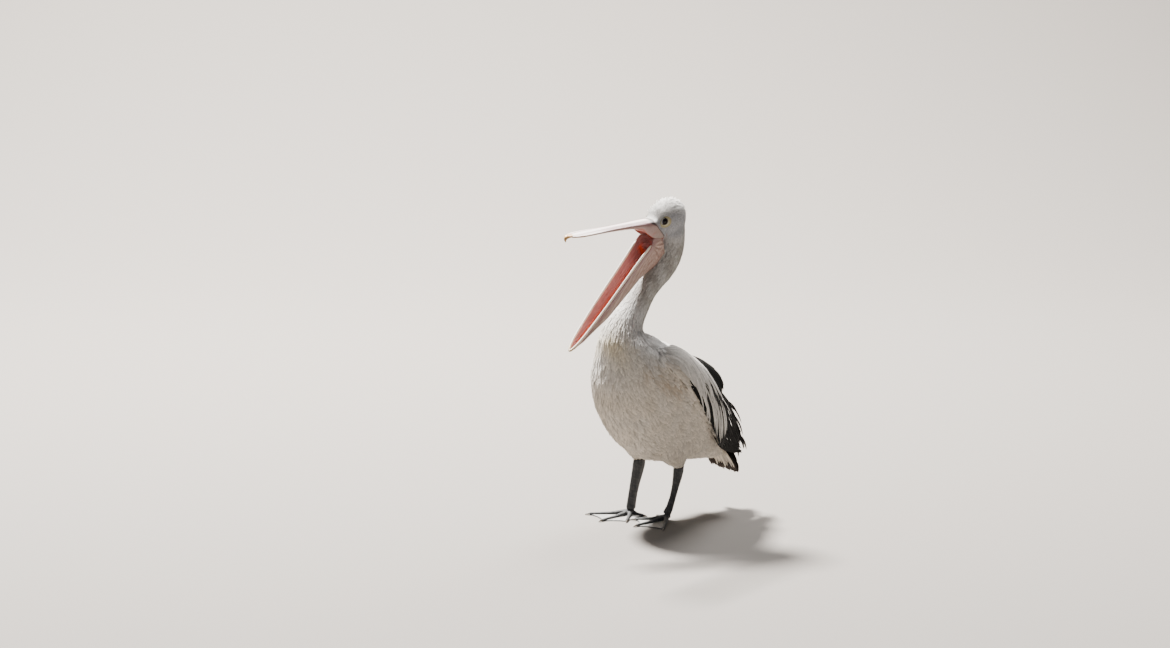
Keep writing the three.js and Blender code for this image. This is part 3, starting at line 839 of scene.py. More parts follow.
# The skin and the bill are cut square to EDGE_SLOPE, this far in front of the head's origin, so that
# they overlap under the feather edge.
SKIN_CUT = 20
BILL_CUT = 1.5
MOUTH_SKIN_DEPTH = 0.3  # the skin lies this far under the solids inside the mouth


def pouch_bottom(depth):
    """Height of the pouch's lowest line, in the jaw's frame."""
    return -RIM_DEPTH + 1.5 - depth


def face_edge(head):
    """Millimetres behind the line where the face's feathers end; the bare horn and skin are below 0."""
    return head @ EDGE_SLOPE + 4.5 + 10 * ramp(np.abs(head[:, 0]), 5, 24)


def in_pouch(points, grow=0.0):
    """True for places inside the open pouch, or within grow millimetres of it."""
    x, y, z = to_jaw(points).T
    half, depth = read_table(JAW_ROWS, -y / MANDIBLE_LENGTH)
    top = read_table(POUCH_TOP, y)[0]
    bottom = pouch_bottom(depth) - grow
    drop = np.maximum((top - z) / (top - bottom), 0)
    inside = (np.abs(x) / (half + POUCH_BULGE + grow)) ** POUCH_ROUND + drop**POUCH_ROUND < 1
    before_rear = y < POUCH_REAR + POUCH_REAR_SLOPE * z + grow
    return inside & (z < top + grow) & before_rear & (y > -0.98 * MANDIBLE_LENGTH)


def head_loft():
    y, half, level, above, below = read_rows(HEAD_ROWS, np.linspace(0, len(HEAD_ROWS) - 1, 90)).T
    angle = np.linspace(0, 2 * math.pi, LOFT_SIDES, endpoint=False)
    c, s = squared(np.cos(angle), 2.2), squared(np.sin(angle), 2.2)
    x = half[:, None] * s[None]
    z = level[:, None] + c[None] * np.where(c[None] > 0, above[:, None], below[:, None])
    return tube(np.stack([x, np.repeat(y[:, None], LOFT_SIDES, 1), z], -1))


def bill_loft():
    share, half, top, bottom = read_rows(BILL_ROWS, np.linspace(0, len(BILL_ROWS) - 1, 260)).T
    power = 4 - 1.7 * ramp(share, 0, 0.2)[:, None]
    angle = np.linspace(0, 2 * math.pi, LOFT_SIDES, endpoint=False)[None]
    c, s = squared(np.cos(angle), power), squared(np.sin(angle), power)
    x = half[:, None] * s
    z = (top + bottom)[:, None] / 2 + c * (top - bottom)[:, None] / 2
    y = np.repeat(-share[:, None] * CULMEN_LENGTH, LOFT_SIDES, 1)
    return tube(np.stack([x, y, z], -1))


def clip(item, normal, offset):
    """Cuts away what lies beyond a plane through the head, offset millimetres along its normal."""
    shape = bmesh.new()
    shape.from_mesh(item.data)
    cut = bmesh.ops.bisect_plane(
        shape,
        geom=shape.verts[:] + shape.edges[:] + shape.faces[:],
        plane_co=Vector(from_head(normal * offset)),
        plane_no=Vector(HEAD_AXES @ normal),
        clear_outer=True,
    )
    edges = [e for e in cut["geom_cut"] if isinstance(e, bmesh.types.BMEdge)]
    bmesh.ops.holes_fill(shape, edges=edges)
    shape.to_mesh(item.data)
    shape.free()


def clipped(loft, normal, offset):
    """A loft of the head, cut off beyond a plane: its points in the part's frame and its triangles."""
    points, faces = loft()
    part = new_object("part", from_head(points), faces)
    clip(part, normal, offset)
    points, faces = points_of(part), triangles_of(part)
    bpy.data.objects.remove(part)
    return points, faces


def make_skin():
    """One skin in place of the flesh nodes, inside them by the coat's depth."""
    face = [clipped(loft, -EDGE_SLOPE, SKIN_CUT) for loft in (head_loft, bill_loft)]
    skin = remade(new_object("skin", *join_all([joined_nodes(FLESH), *face])), SKIN_VOXEL, 10)
    height = to_body(points_of(skin))[:, 2]
    soften(skin, ramp(height, 165, 205) * (1 - ramp(height, 330, 400)), 90)
    points, normals = points_of(skin), normals_of(skin)
    _, rows = lie_of(points)
    depth = coat_values(points, rows)[4]
    edge = face_edge(to_head(points))
    by_face = depth * (0.35 + 0.65 * ramp(edge, 0, 8)) + 2.2 * (1 - ramp(edge, -2.5, 0))
    inside = in_pouch(points)
    depth = np.where(inside, MOUTH_SKIN_DEPTH, np.where(rows < HEAD_END, by_face, depth))
    set_points(skin, points - normals * depth[:, None] * MM)
    tones = markings_and_shade(points, rows, normals)
    tones[inside] = MOUTH_RED
    skin.data.materials.append(PLUMAGE["white_plumage"])
    return finish_painted(skin, tones, "white_plumage", *FLESH)


DARTS = 3.2  # roots thrown at random on each square as wide as the spacing
LEAST_GAP = 0.86  # roots lie no closer than this share of the spacing


class Surface:
    """The finished skin, ready to be asked for the nearest place, its direction and its OFBake spot."""

    def __init__(self, skin):
        mesh = skin.data
        mesh.update()
        self.points = points_of(skin)
        quad = read_array(mesh.polygons, "loop_total") == 4
        starts = read_array(mesh.polygons, "loop_start")[quad]
        corners = read_array(mesh.loops, "vertex_index")
        uv = read_array(mesh.uv_layers["OFBake"].uv, "vector", 2, np.float32)
        self.faces = np.stack([corners[starts + k] for k in range(4)], -1)
        self.spots = np.mean([uv[starts + k] for k in range(4)], axis=0)
        self.normals = unit(normals_of(skin)[self.faces].mean(1))
        self.centres = self.points[self.faces].mean(1)
        self.ways, self.rows = lie_of(self.centres)
        across = (self.ways * self.normals).sum(1, keepdims=True)
        self.ways = unit(self.ways - self.normals * across)
        a, b, c, d = (self.points[self.faces[:, k]] for k in range(4))
        self.areas = 0.5 * np.linalg.norm(np.cross(c - a, d - b), axis=1) / MM**2
        self.tree = BVHTree.FromPolygons(self.points.tolist(), self.faces.tolist())

    def scatter(self, allowed, spacing):
        """Evenly spread roots, thrown at random and thinned: face numbers and places."""
        counts = rng.poisson(np.where(allowed, self.areas / spacing**2 * DARTS, 0))
        face = np.repeat(np.arange(len(self.faces)), counts)
        s, t = rng.random(len(face)), rng.random(len(face))
        a, b, c, d = (self.points[self.faces[face, k]] for k in range(4))
        s, t = s[:, None], t[:, None]
        places = (1 - s) * ((1 - t) * a + t * d) + s * ((1 - t) * b + t * c)
        order = rng.permutation(len(face))
        tree = KDTree(len(face))
        for k in order:
            tree.insert(places[k], int(k))
        tree.balance()
        free = np.ones(len(face), bool)
        kept = []
        for k in order:
            if not free[k]:
                continue
            kept.append(k)
            for _, other, _ in tree.find_range(places[k], spacing[face[k]] * MM * LEAST_GAP):
                free[other] = False
        kept = np.array(kept)
        return face[kept], places[kept]

    def walk(self, face, places, turn, steps):
        """Lines over the skin from each root: places and directions away from the skin, step by step."""
        count = len(face)
        line = np.empty((count, steps.shape[1] + 1, 3))
        away = np.empty_like(line)
        for n in range(count):
            spot = Vector(places[n])
            now = face[n]
            cos, sin = math.cos(turn[n]), math.sin(turn[n])
            line[n, 0] = spot
            away[n, 0] = self.normals[now]
            for k in range(steps.shape[1]):
                way, normal = self.ways[now], self.normals[now]
                side = np.cross(normal, way)
                spot = spot + Vector((way * cos + side * sin) * (steps[n, k] * MM))
                near = self.tree.find_nearest(spot)
                spot, now = near[0], near[2]
                line[n, k + 1] = spot
                away[n, k + 1] = self.normals[now]
        return line, away


# ---------------------------------------------------------------- feathers
# A vane's section, in order round it: place across from -1 to 1, 1 on the upper face and 0 on the
# lower, and 1 where the shaft stands up.
FINE_SECTION = [(-1, 1, 0), (0, 1, 0), (1, 1, 0), (0, 0, 0)]
BROAD_SECTION = [
    (-1, 1, 0), (-0.55, 1, 0), (-0.12, 1, 0), (0, 1, 1), (0.12, 1, 0), (0.55, 1, 0), (1, 1, 0),
    (0.55, 0, 0), (0, 0, 0), (-0.55, 0, 0),
]


EDGE_THINNING = 0.15  # how far a vane's edges are drawn down, as a share of its thickness
BARBS = 0.9  # barbs for each millimetre along a vane
BARB_SLANT = 1.3  # how far a barb runs towards the tip for each millimetre that it runs outward
UV_SPOT = 0.0015  # half the size of a vane's own spot in the OFBake map


def vane_arrays(line, away, left, right, arch, thick, section, shaft, crisp):
    """Closed vanes along lines [vane, row, 3] in metres; sizes are in millimetres for each vane and row.

    crisp is 1 for a vane shaded by its own shape and less for one shaded partly as the skin under it.
    """
    count, rows = line.shape[:2]
    along = unit(np.gradient(line, axis=1))
    side = unit(np.cross(along, away))
    up = np.cross(side, along)
    rings, soft = [], []
    for across, top, stem in section:
        reach = np.where(across < 0, left, right) * across
        height = arch * (1 - across**2) + (0 if top else -1) * thick * (1 - across**2) + stem * shaft
        if abs(across) == 1:
            height = height - EDGE_THINNING * thick
        rings.append(line + (side * reach[..., None] + up * height[..., None]) * MM)
        curved = up + side * (4 * arch * across / np.maximum(left + right, 0.1))[..., None]
        soft.append(unit((1 - crisp) * away + crisp * unit(curved)) if top else -up)
    ends = unit((1 - crisp) * away + crisp * up)

    def between(sections, first, last):
        inner = np.stack(sections, 2)[:, 1:-1].reshape(count, -1, 3)
        return np.concatenate([first[:, :1], inner, last[:, -1:]], 1)

    points, shading = between(rings, line, line), between(soft, ends, ends)
    per, n, inner = points.shape[1], len(section), rows - 2
    j = np.arange(n)
    after = (j + 1) % n
    last = 1 + (inner - 1) * n
    parts = [np.stack([np.zeros(n, int), 1 + after, 1 + j], -1)]
    for base in range(1, last, n):
        parts.append(np.stack([base + j, base + n + after, base + n + j], -1))
        parts.append(np.stack([base + j, base + after, base + n + after], -1))
    parts.append(np.stack([np.full(n, per - 1), last + j, last + after], -1))
    faces = np.concatenate(parts)[None] + (np.arange(count) * per)[:, None, None]
    across = np.concatenate([[0], np.tile([a for a, _, _ in section], inner), [0]])
    shares = np.concatenate([[0], np.repeat(np.linspace(0, 1, rows)[1:-1], n), [1]])
    return points, faces.reshape(-1, 3), shading, across, shares


def feather_object(name, slot, vanes, arch, thick, tones, spots, section, shaft=0.0, crisp=1.0):
    """A joined mesh of vanes (line, away, left, right) with tones, barbs and an OFBake map."""
    line, _, left, right = vanes
    points, faces, shading, across, shares = vane_arrays(*vanes, arch, thick, section, shaft, crisp)
    count, per = points.shape[:2]
    item = new_object(name, points.reshape(-1, 3), faces, PLUMAGE[slot])
    set_colour(item, np.repeat(tones, per, axis=0))
    # Each vane has its own random tone, and painted shade darkens its root and edges, where others lie over
    # it.
    along = ramp(shares, 0.35, 0.95) * (1 - 0.35 * across**2)
    set_value(item, "vane", (0.4 * rng.random(count)[:, None] + 0.6 * along[None]).ravel())
    length = np.linalg.norm(np.diff(line, axis=1), axis=2).sum(1) / MM
    widest = np.maximum(left, right).max(1)
    barb = length[:, None] * shares[None] - BARB_SLANT * np.abs(across)[None] * widest[:, None]
    set_value(item, "barb", (barb * BARBS).ravel())
    spot = UV_SPOT * np.stack([across, 2 * shares - 1], -1)
    set_uv(item, (spots[:, None, :] + spot[None]).reshape(-1, 2))
    item.data.normals_split_custom_set_from_vertices(shading.reshape(-1, 3).astype(np.float32))
    return finish_piece(item, slot)


# A small coat feather from root to tip: share of its length, of its half width and of its lift.
SHARES = np.array([0, 0.22, 0.55, 0.85, 1.0])
WIDTHS = np.array([0, 0.72, 1.0, 0.62, 0])
LIFTS = np.array([-0.6, 0.25, 0.55, 0.85, 1.0])

RING = (20.5, 17.5)  # half the length and half the height of the bare ring round the eye
RING_SHIFT = (5.0, -3.5)  # the ring's middle lies this far forward and up from the eye
RING_LOOK = (0.965, -0.2, 0.17)  # the way that the skin round the left eye faces, in the head's frame
EYE_LOOK = (0.80, -0.55, 0.22)  # the way that the left eye faces
EYE_OPENING = 9.0  # radius of the opening between the lids
FAR = 99.0  # more than any distance from a ring


def eye_axes(side, look):
    """The eye's centre, and the outward, upward and forward directions for the way that it faces."""
    centre = np.array(EYE_PLACE) * (side, 1, 1)
    out = unit(np.array(look) * (side, 1, 1))
    up = unit(np.array([0, 0, 1.0]) - out * out[2])
    return centre, out, up, np.cross(up, out) * side


def eye_offset(head_points):
    """Distance from the middle of the nearer bare ring, as a share of its size, and the way off it."""
    best = np.full(len(head_points), FAR)
    way = np.zeros((len(head_points), 3))
    for side in (1, -1):
        centre, out, up, ahead = eye_axes(side, RING_LOOK)
        middle = centre + ahead * RING_SHIFT[0] + up * RING_SHIFT[1]
        gap = head_points - middle
        distance = np.hypot(gap @ ahead / RING[0], gap @ up / RING[1])
        distance = np.where(head_points[:, 0] * side > 0, distance, FAR)
        flat = unit(gap - (gap @ out)[:, None] * out)
        way = np.where((distance < best)[:, None], flat, way)
        best = np.minimum(best, distance)
    return best, way


# The coat's zones along the middle line, each with the row of SPINE where it ends.
COAT_ZONES = [
    ("head", HEAD_END),
    ("neck", 9.5),
    ("breast", 13.2),
    ("shoulders", 15.2),
    ("belly", 17.0),
    ("rump", 21.0),
]


def bare_of_coat(surface, edge, ring):
    """True where no coat feather grows: the mouth, the bare face and the open part of each wing."""
    body = to_body(surface.centres)
    bare_face = (surface.rows < HEAD_END) & ((edge < 0.6) | (ring < 1.02))
    distance, row, across, _ = on_wing(body)
    open_wing = (row > 1.6) & (row < 6.8) & (across < wing_cover(row, body)) & (across > -0.93)
    return in_pouch(surface.centres, 1.0) | bare_face | ((distance < 9) & open_wing)


def make_coat(skin):
    """Contour feathers over the whole skin, in one piece for each zone and side."""
    surface = Surface(skin)
    rows = surface.rows
    spacing, length, half, rise, _ = coat_values(surface.centres, rows)
    head = to_head(surface.centres)
    edge = face_edge(head)
    ring, off = eye_offset(head)
    allowed = ~bare_of_coat(surface, edge, ring)
    # Feathers part round the eye, and are shortest beside it and along the feather edge.
    on_head = rows < HEAD_END
    off = unit(off @ HEAD_AXES.T)
    inward = np.minimum((surface.ways * off).sum(1), 0) * (1 - ramp(ring, 1.2, 1.9)) * on_head
    surface.ways = unit(surface.ways - off * (inward * 1.1)[:, None])
    by_eye = 0.45 + 0.55 * ramp(ring, 1.0, 2.4)
    by_edge = 0.5 + 0.5 * ramp(edge, 0, 22)
    short = np.where(on_head, np.minimum(by_eye, by_edge), 1.0)
    length = length * short
    half = half * (0.7 + 0.3 * short)
    crown = on_head * ramp(surface.normals[:, 2], 0.1, 0.7) * ramp(edge, 6, 30)

    face, places = surface.scatter(allowed, spacing * (0.8 + 0.2 * short))
    count = len(face)
    rows, crown = rows[face], crown[face]
    long = length[face] * rng.uniform(0.8, 1.2, count) * (1 + 0.35 * crown)
    body = to_body(places)
    below = ramp(rows, 8, 11)
    turn = rng.normal(0, 0.10, count) * (1 + 2.4 * crown) + 0.45 * waves(body, 30, 41) * below
    line, away = surface.walk(face, places, turn, np.diff(SHARES)[None] * long[:, None])
    lift = rise[face] * rng.uniform(0.6, 1.4, count) * (1 + 0.5 * waves(body, 14, 42) * below)
    lift = lift + crown * rng.uniform(0.5, 11, count) * rng.random(count)
    line = line + away * (LIFTS[None] * lift[:, None])[..., None] * MM
    wide = (half[face] * rng.uniform(0.85, 1.15, count))[:, None] * WIDTHS[None]
    thick = np.full_like(wide, 0.4) * WIDTHS[None]
    tones = markings_and_shade(places, rows, surface.normals[face])
    zone = np.digitize(rows, [end for _, end in COAT_ZONES[:-1]])
    for number, (name, _) in enumerate(COAT_ZONES):
        for word, on_side in (("left", body[:, 0] >= 0), ("right", body[:, 0] < 0)):
            pick = (zone == number) & on_side
            feather_object(
                "coat_%s_%s" % (name, word), "white_plumage",
                (line[pick], away[pick], wide[pick], wide[pick]), wide[pick] * 0.2, thick[pick],
                tones[pick], surface.spots[face[pick]], FINE_SECTION, crisp=0.7,
            )
    return surface


# ---------------------------------------------------------------- long feathers
def ragged(shape, half, steps, depth, start):
    """Half widths for each feather and row, with splits up to depth past start, where the web has parted."""
    size = (len(half), steps)
    share = np.linspace(0, 1, steps)
    notch = np.where(rng.random(size) < 0.28, rng.uniform(1 - depth, 1, size), 1.0)
    notch = np.where(share[None] > start, notch, 1.0)
    return np.interp(share, *shape)[None] * notch * half


# Half widths along a feather: shares of its length, and shares of its greatest half width there.
PLUME_SHAPE = ([0, 0.08, 0.35, 0.7, 0.9, 1.0], [0.25, 0.6, 1.0, 0.85, 0.45, 0.0])
QUILL_SHAPE = ([0, 0.06, 0.3, 0.75, 0.93, 1.0], [0.3, 0.7, 1.0, 0.95, 0.6, 0.0])


def long_feathers(name, slot, sets, surface, arch, thick, shaft, *nodes):
    """One joined piece from sets of (line, away, left, right, tones), mapped by their roots on the skin."""
    line, away, left, right, tones = (np.concatenate(part) for part in zip(*sets))
    roots = [surface.tree.find_nearest(Vector(root))[2] for root in line[:, 0]]
    wide = np.maximum(left, right)
    item = feather_object(
        name, slot, (line, away, left, right), wide * arch, np.minimum(thick, wide * 0.2 + 0.1),
        tones, surface.spots[roots], BROAD_SECTION, shaft,
    )
    if nodes:
        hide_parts(*nodes)


def feather_set(rows, side, starts, ends, lifts, half, shape, tone, steps=14, bend=0.0, face=1.0):
    """Long feathers on a flat part, from (row, across) starts to (row, across) ends.

    lifts are of root and tip. Each value is one number or one for each feather.
    """
    share = np.linspace(0, 1, steps)
    values = np.broadcast_arrays(*starts, *ends, *lifts, half)
    u0, c0, u1, c1, low, high, half = (value[:, None] for value in values)
    u = u0 + (u1 - u0) * share
    c = c0 + (c1 - c0) * share + bend * np.sin(share * math.pi)
    lift = low + (high - low) * share**0.8
    place, normal, _ = wing_surface(rows, u.ravel(), c.ravel(), side, lift.ravel(), face)
    line, away = from_body(place).reshape(*u.shape, 3), normal.reshape(*u.shape, 3)
    left, right = (ragged(shape, half, steps, 0.5, 0.45) for _ in range(2))
    count = len(line)
    return line, away, left, right, np.tile(tone, (count, 1)) * rng.uniform(0.85, 1.1, (count, 1))


# Short white coverts by the shoulder: first row, length in rows, first and last place across,
# how many, half width and lift of the tips.
WHITE_LAYERS = [
    (0.5, 1.2, -0.98, 0.50, 13, 6.0, 0.8),
    (1.0, 1.2, -0.98, 0.55, 14, 5.8, 1.0),
    (1.4, 1.3, -0.98, 0.62, 15, 5.4, 1.3),
]
# Lance-shaped plumes hang across the wing from a line between these two places, (row, across), with
# ranks of others above it.
PLUME_LINE = ((1.75, 0.66), (4.50, -0.50))
LOCKS = 11  # the lowest plumes hang in locks, with the black of the wing between them
PLUMES_PER_LOCK = 2
UPPER_RANKS = 5
PLUMES_PER_RANK = 18
# Black feathers under them, in the same terms as the white coverts.
BLACK_LAYERS = [
    (2.1, 2.2, 0.50, 0.80, 5, 5.0, 0.5),
    (2.7, 2.5, -0.90, 0.76, 15, 7.0, 0.6),
    (3.7, 2.7, -0.92, 0.72, 15, 7.0, 0.9),
    (4.6, 2.6, -0.94, 0.66, 14, 6.5, 1.2),
]


def plume_set(side, shares, offset, reach, sweep, half, lift):
    """Plumes from the plume line, or that many rows before it; the last four have one value for each."""
    (row0, across0), (row1, across1) = PLUME_LINE
    row = row0 + (row1 - row0) * shares - offset
    across = across0 + (across1 - across0) * shares - 0.22 * offset
    keep = (row > 0.8) & (across > -0.97)
    row, across, reach, sweep, half, lift = (v[keep] for v in (row, across, reach, sweep, half, lift))
    limit = np.full(len(row), 0.7)
    behind = row > 1.6
    limit[behind] = rng.uniform(0.80, 0.99, behind.sum())
    swung = np.minimum(across + sweep * reach * ramp(across, -0.66, -0.3), limit)
    starts, ends = (row, across), (row + reach, swung)
    return feather_set(
        WING_ROWS, side, starts, ends, (-1.2, lift), half, PLUME_SHAPE, PLUME_WHITE, bend=-0.07
    )


def plume_sweep(shares):
    """How far plumes swing towards the wing's lower edge for each row, most at the line's front."""
    return 0.48 - 0.34 * ramp(shares, 0.15, 0.95)


def hanging_plumes(side):
    """Long white plumes in locks that hang free, and shorter ranks that cover their roots."""
    lock = np.repeat(np.arange(LOCKS), PLUMES_PER_LOCK)
    member = np.tile(np.arange(PLUMES_PER_LOCK) - 0.5, LOCKS)
    count = len(lock)
    shares = lock + 0.5 + rng.uniform(-0.22, 0.22, LOCKS)[lock]
    shares = 0.93 * shares / LOCKS + 0.018 * member
    reach = rng.uniform(1.7, 2.2, LOCKS)[lock] + 0.75 * bump_at(shares, 0.55, 0.25)
    reach = reach + rng.uniform(-0.3, 0.1, count)
    sweep = plume_sweep(shares) + rng.uniform(-0.05, 0.05, LOCKS)[lock]
    sweep = sweep + rng.uniform(-0.02, 0.02, count)
    half = rng.uniform(2.9, 4.0, count)
    sets = [plume_set(side, shares, 0.0, reach, sweep, half, rng.uniform(3.0, 5.0, count))]
    count = PLUMES_PER_RANK
    for rank in range(UPPER_RANKS):
        shares = (np.arange(count) + rng.uniform(0.1, 0.9, count)) / count
        reach = rng.uniform(1.0, 1.5, count) - 0.03 * rank
        sweep = plume_sweep(shares) + rng.uniform(-0.06, 0.06, count)
        half = rng.uniform(3.8, 5.0, count) + 0.4 * rank
        lift = rng.uniform(2.2, 4.2, count) - 0.4 * rank
        sets.append(plume_set(side, shares, 0.80 + 0.38 * rank, reach, sweep, half, lift))
    return sets


def black_coverts(side):
    """Layers of black feathers over the wing, and loose ones along its upper edge."""
    sets = []
    for first, length, low, high, count, half, lift in BLACK_LAYERS:
        across = np.linspace(low, high, count)
        starts = first + rng.uniform(-0.15, 0.15, count), across
        tips = np.minimum(first + length + rng.uniform(-0.35, 0.2, count), 7.1)
        ends = tips, np.minimum(across + 0.05, 0.9)
        lifts = lift - 2, lift + rng.uniform(0.4, 1.4, count)
        sets.append(feather_set(WING_ROWS, side, starts, ends, lifts, half, QUILL_SHAPE, BLACK))
    # Long feathers hang over the wing's upper edge, beside the white ones.
    k = np.arange(7)
    across = np.linspace(-0.99, -0.66, 7)
    starts, ends = (2.0 + 0.5 * k, across), (4.9 + 0.45 * k, across - 0.02)
    sets.append(feather_set(WING_ROWS, side, starts, ends, (-1, 5.0), 5.5, QUILL_SHAPE, BLACK))
    # Others lie between that edge and the scapulars.
    k = np.arange(9)
    starts, ends = (1.5 + 0.3 * k, -0.98), (3.2 + 0.3 * k, -1.12 - 0.10 * (k % 2))
    sets.append(feather_set(WING_ROWS, side, starts, ends, (-2.0, 0.5), 7.0, QUILL_SHAPE, BLACK))
    return sets


def shoulder_coverts(side):
    """Short white feathers by the shoulder."""
    sets = []
    for first, length, low, high, count, half, lift in WHITE_LAYERS:
        across = np.maximum(np.linspace(low, high, count) + rng.uniform(-0.04, 0.04, count), -0.98)
        row = first + rng.uniform(-0.3, 0.3, count)
        ends = row + length * rng.uniform(0.8, 1.15, count), np.minimum(across + 0.1, 0.95)
        lifts = -1.0, lift + rng.uniform(-0.5, 1.0, count)
        halves = half * rng.uniform(0.8, 1.1, count)
        sets.append(feather_set(
            WING_ROWS, side, (row, across), ends, lifts, halves, PLUME_SHAPE, PLUME_WHITE, bend=-0.05
        ))
    return sets


def make_wing(word, side, surface):
    """Black coverts under long white lance-shaped plumes that hang across the wing."""
    plumes = hanging_plumes(side)
    long_feathers("wing_black_" + word, "black_plumage", black_coverts(side), surface, 0.18, 0.7, 0.4)
    white = plumes + shoulder_coverts(side)
    long_feathers("wing_white_" + word, "white_plumage", white, surface, 0.25, 0.7, 0.35)


FLIGHT_STEPS = 18  # rows of each flight feather
# Flight feathers: first and last row, lift of the tips, and 1 on the outer face or -1 on the inner.
FLIGHT_LAYERS = [(-0.2, 3.4, 0.0, -1.0), (0.0, 4.2, 0.0, 1.0), (0.8, 4.7, 0.8, 1.0), (1.6, 4.9, 1.6, 1.0)]
# Loose tips behind the folded wing, in the body's frame: root, tip and half width.
WISPS = [
    ((46, 222, 306), (40, 270, 250), 2.4),
    ((46, 226, 298), (40, 281, 232), 2.6),
    ((46, 238, 270), (40, 286, 198), 3.0),
    ((44, 248, 244), (40, 280, 178), 3.4),
    ((44, 262, 208), (40, 299, 156), 3.6),
    ((50, 258, 196), (44, 286, 160), 3.6),
    ((54, 240, 206), (50, 262, 142), 4.4),
]


def wisp_set(side):
    """Loose tips behind the folded wing."""
    share = np.linspace(0, 1, FLIGHT_STEPS)[:, None]
    sag = np.array([0, 5.0, 4.0]) * np.sin(share * math.pi)
    away = np.tile(unit(np.array([side * 0.8, -0.3, 0.5])), (1, FLIGHT_STEPS, 1))
    sets = []
    for root, tip, half in WISPS:
        root, tip = np.array(root) * (side, 1, 1), np.array(tip) * (side, 1, 1)
        line = from_body(root + (tip - root) * share + sag)[None]
        width = np.interp(share[:, 0], *PLUME_SHAPE)[None] * half
        sets.append((line, away, width, width, BLACK[None]))
    return sets


def make_flight(word, side, surface):
    """Secondaries and primaries folded past the coverts, their tips spread apart."""
    sets = []
    across = np.linspace(-0.72, 0.92, 10)
    for first, last, lift, face in FLIGHT_LAYERS:
        starts = first + rng.uniform(-0.1, 0.1, 10), across
        reach, spread = rng.uniform((-0.6, 0.85), (0.2, 1.04), (10, 2)).T
        ends = last - 0.35 * (1 - across) + reach, across * spread
        lifts = lift - 1, lift + rng.uniform(0, 2.2, 10)
        half = rng.uniform(4.0, 6.5, 10)
        sets.append(feather_set(
            FLIGHT_ROWS, side, starts, ends, lifts, half, QUILL_SHAPE, BLACK, FLIGHT_STEPS, face=face
        ))
    # Staggered points along the rear edge.
    k = np.arange(9)
    starts, ends = (0.1 + 0.38 * k, -0.80), (1.5 + 0.42 * k, -1.0 - 0.12 * (k % 2))
    lifts = 0.0, rng.uniform(0.5, 2.0, 9)
    sets.append(feather_set(FLIGHT_ROWS, side, starts, ends, lifts, 4.6, QUILL_SHAPE, BLACK, FLIGHT_STEPS))
    sets += wisp_set(side)
    long_feathers(
        "flight_feathers_" + word, "black_plumage", sets, surface, 0.15, 0.8, 0.5, "flight_" + word
    )


# Scapular layers: first and last row, and lift of the tips.
SCAPULAR_LAYERS = [(-0.4, 1.2, 0.0), (0.2, 1.9, 0.3), (0.8, 2.6, 0.6), (1.3, 3.3, 0.9), (1.8, 3.9, 1.2)]


def make_scapulars(word, side, surface):
    """Black scapulars in a blunt, ragged tuft over the wing's upper edge."""
    sets = []
    across = np.linspace(-0.70, 1.50, 14)
    for first, last, lift in SCAPULAR_LAYERS:
        starts = first + rng.uniform(-0.15, 0.15, 14), np.minimum(across, 1.1)
        reach, spread = rng.uniform((-0.55, 0.92), (0.2, 1.12), (14, 2)).T
        lifts = lift - 2.5, lift + rng.uniform(-0.8, 2.6, 14)
        half = rng.uniform(5.0, 7.5, 14)
        ends = last + reach, across * spread
        sets.append(feather_set(SCAPULAR_ROWS, side, starts, ends, lifts, half, QUILL_SHAPE, BLACK))
    # Narrow tips stand out of the tuft's end.
    across = np.linspace(-0.4, 1.5, 10)
    tips, spread = rng.uniform((3.8, -0.1), (4.6, 0.3), (10, 2)).T
    lifts = 0.0, rng.uniform(1.0, 6.0, 10)
    ends = tips, across + spread
    sets.append(feather_set(SCAPULAR_ROWS, side, (2.0, across), ends, lifts, 3.8, PLUME_SHAPE, BLACK))
    long_feathers(
        "scapular_feathers_" + word, "black_plumage", sets, surface, 0.2, 0.7, 0.4, "scapulars_" + word
    )


# Layers of the tail and of its under coverts: how many feathers, first and last row, and the lift of
# their roots and tips in half thicknesses.
TAIL_LAYERS = [
    (13, 0, 5.0, -0.6, -0.9),
    (12, 0, 4.95, 0.3, 0.2),
    (11, 0, 4.4, 0.8, 0.9),
    (9, 0, 3.6, 1.2, 1.5),
]
VENT_LAYERS = [(10, 0.0, 3.0, -1.0, -1.8), (11, 0.4, 3.7, -1.0, -1.8), (9, -0.5, 2.4, -0.8, -2.1)]
TAIL_SAG = 6  # the feathers' tips hang this far below the middle of the solid tail


def fan_line(u, across, lift):
    """A line along the tail: u along its rows, across from -1 to 1, lift in half thicknesses to its back."""
    x, y, z, half, thick = read_rows(TAIL_ROWS, u).T
    place = np.stack([x + across * half * 0.92, y, z - TAIL_SAG * ramp(u, 0.5, 4)], -1)
    return from_body(place + TAIL_BACK * (lift * thick - 0.5 * across**2 * thick)[:, None])


def fan_set(layers, steps, half, shape, tone, facing, parted):
    """Feathers in a fan, from layers of (count, first row, last row, root lift, tip lift)."""
    share = np.linspace(0, 1, steps)
    sets = []
    for count, start, end, low, high in layers:
        lift = low + (high - low) * share
        lines = []
        for c in np.linspace(-0.96, 0.96, count):
            reach = end + rng.uniform(-0.9, 0.1) - start - 0.3 * c * c
            lines.append(fan_line(start + share * reach, c, lift))
        away = np.tile(TAIL_BACK * facing, (count, steps, 1))
        left, right = (ragged(shape, np.full((count, 1), half), steps, parted, 0.5) for _ in range(2))
        tones = np.tile(tone, (count, 1)) * rng.uniform(0.8, 1.15, (count, 1))
        sets.append((np.array(lines), away, left, right, tones))
    return sets


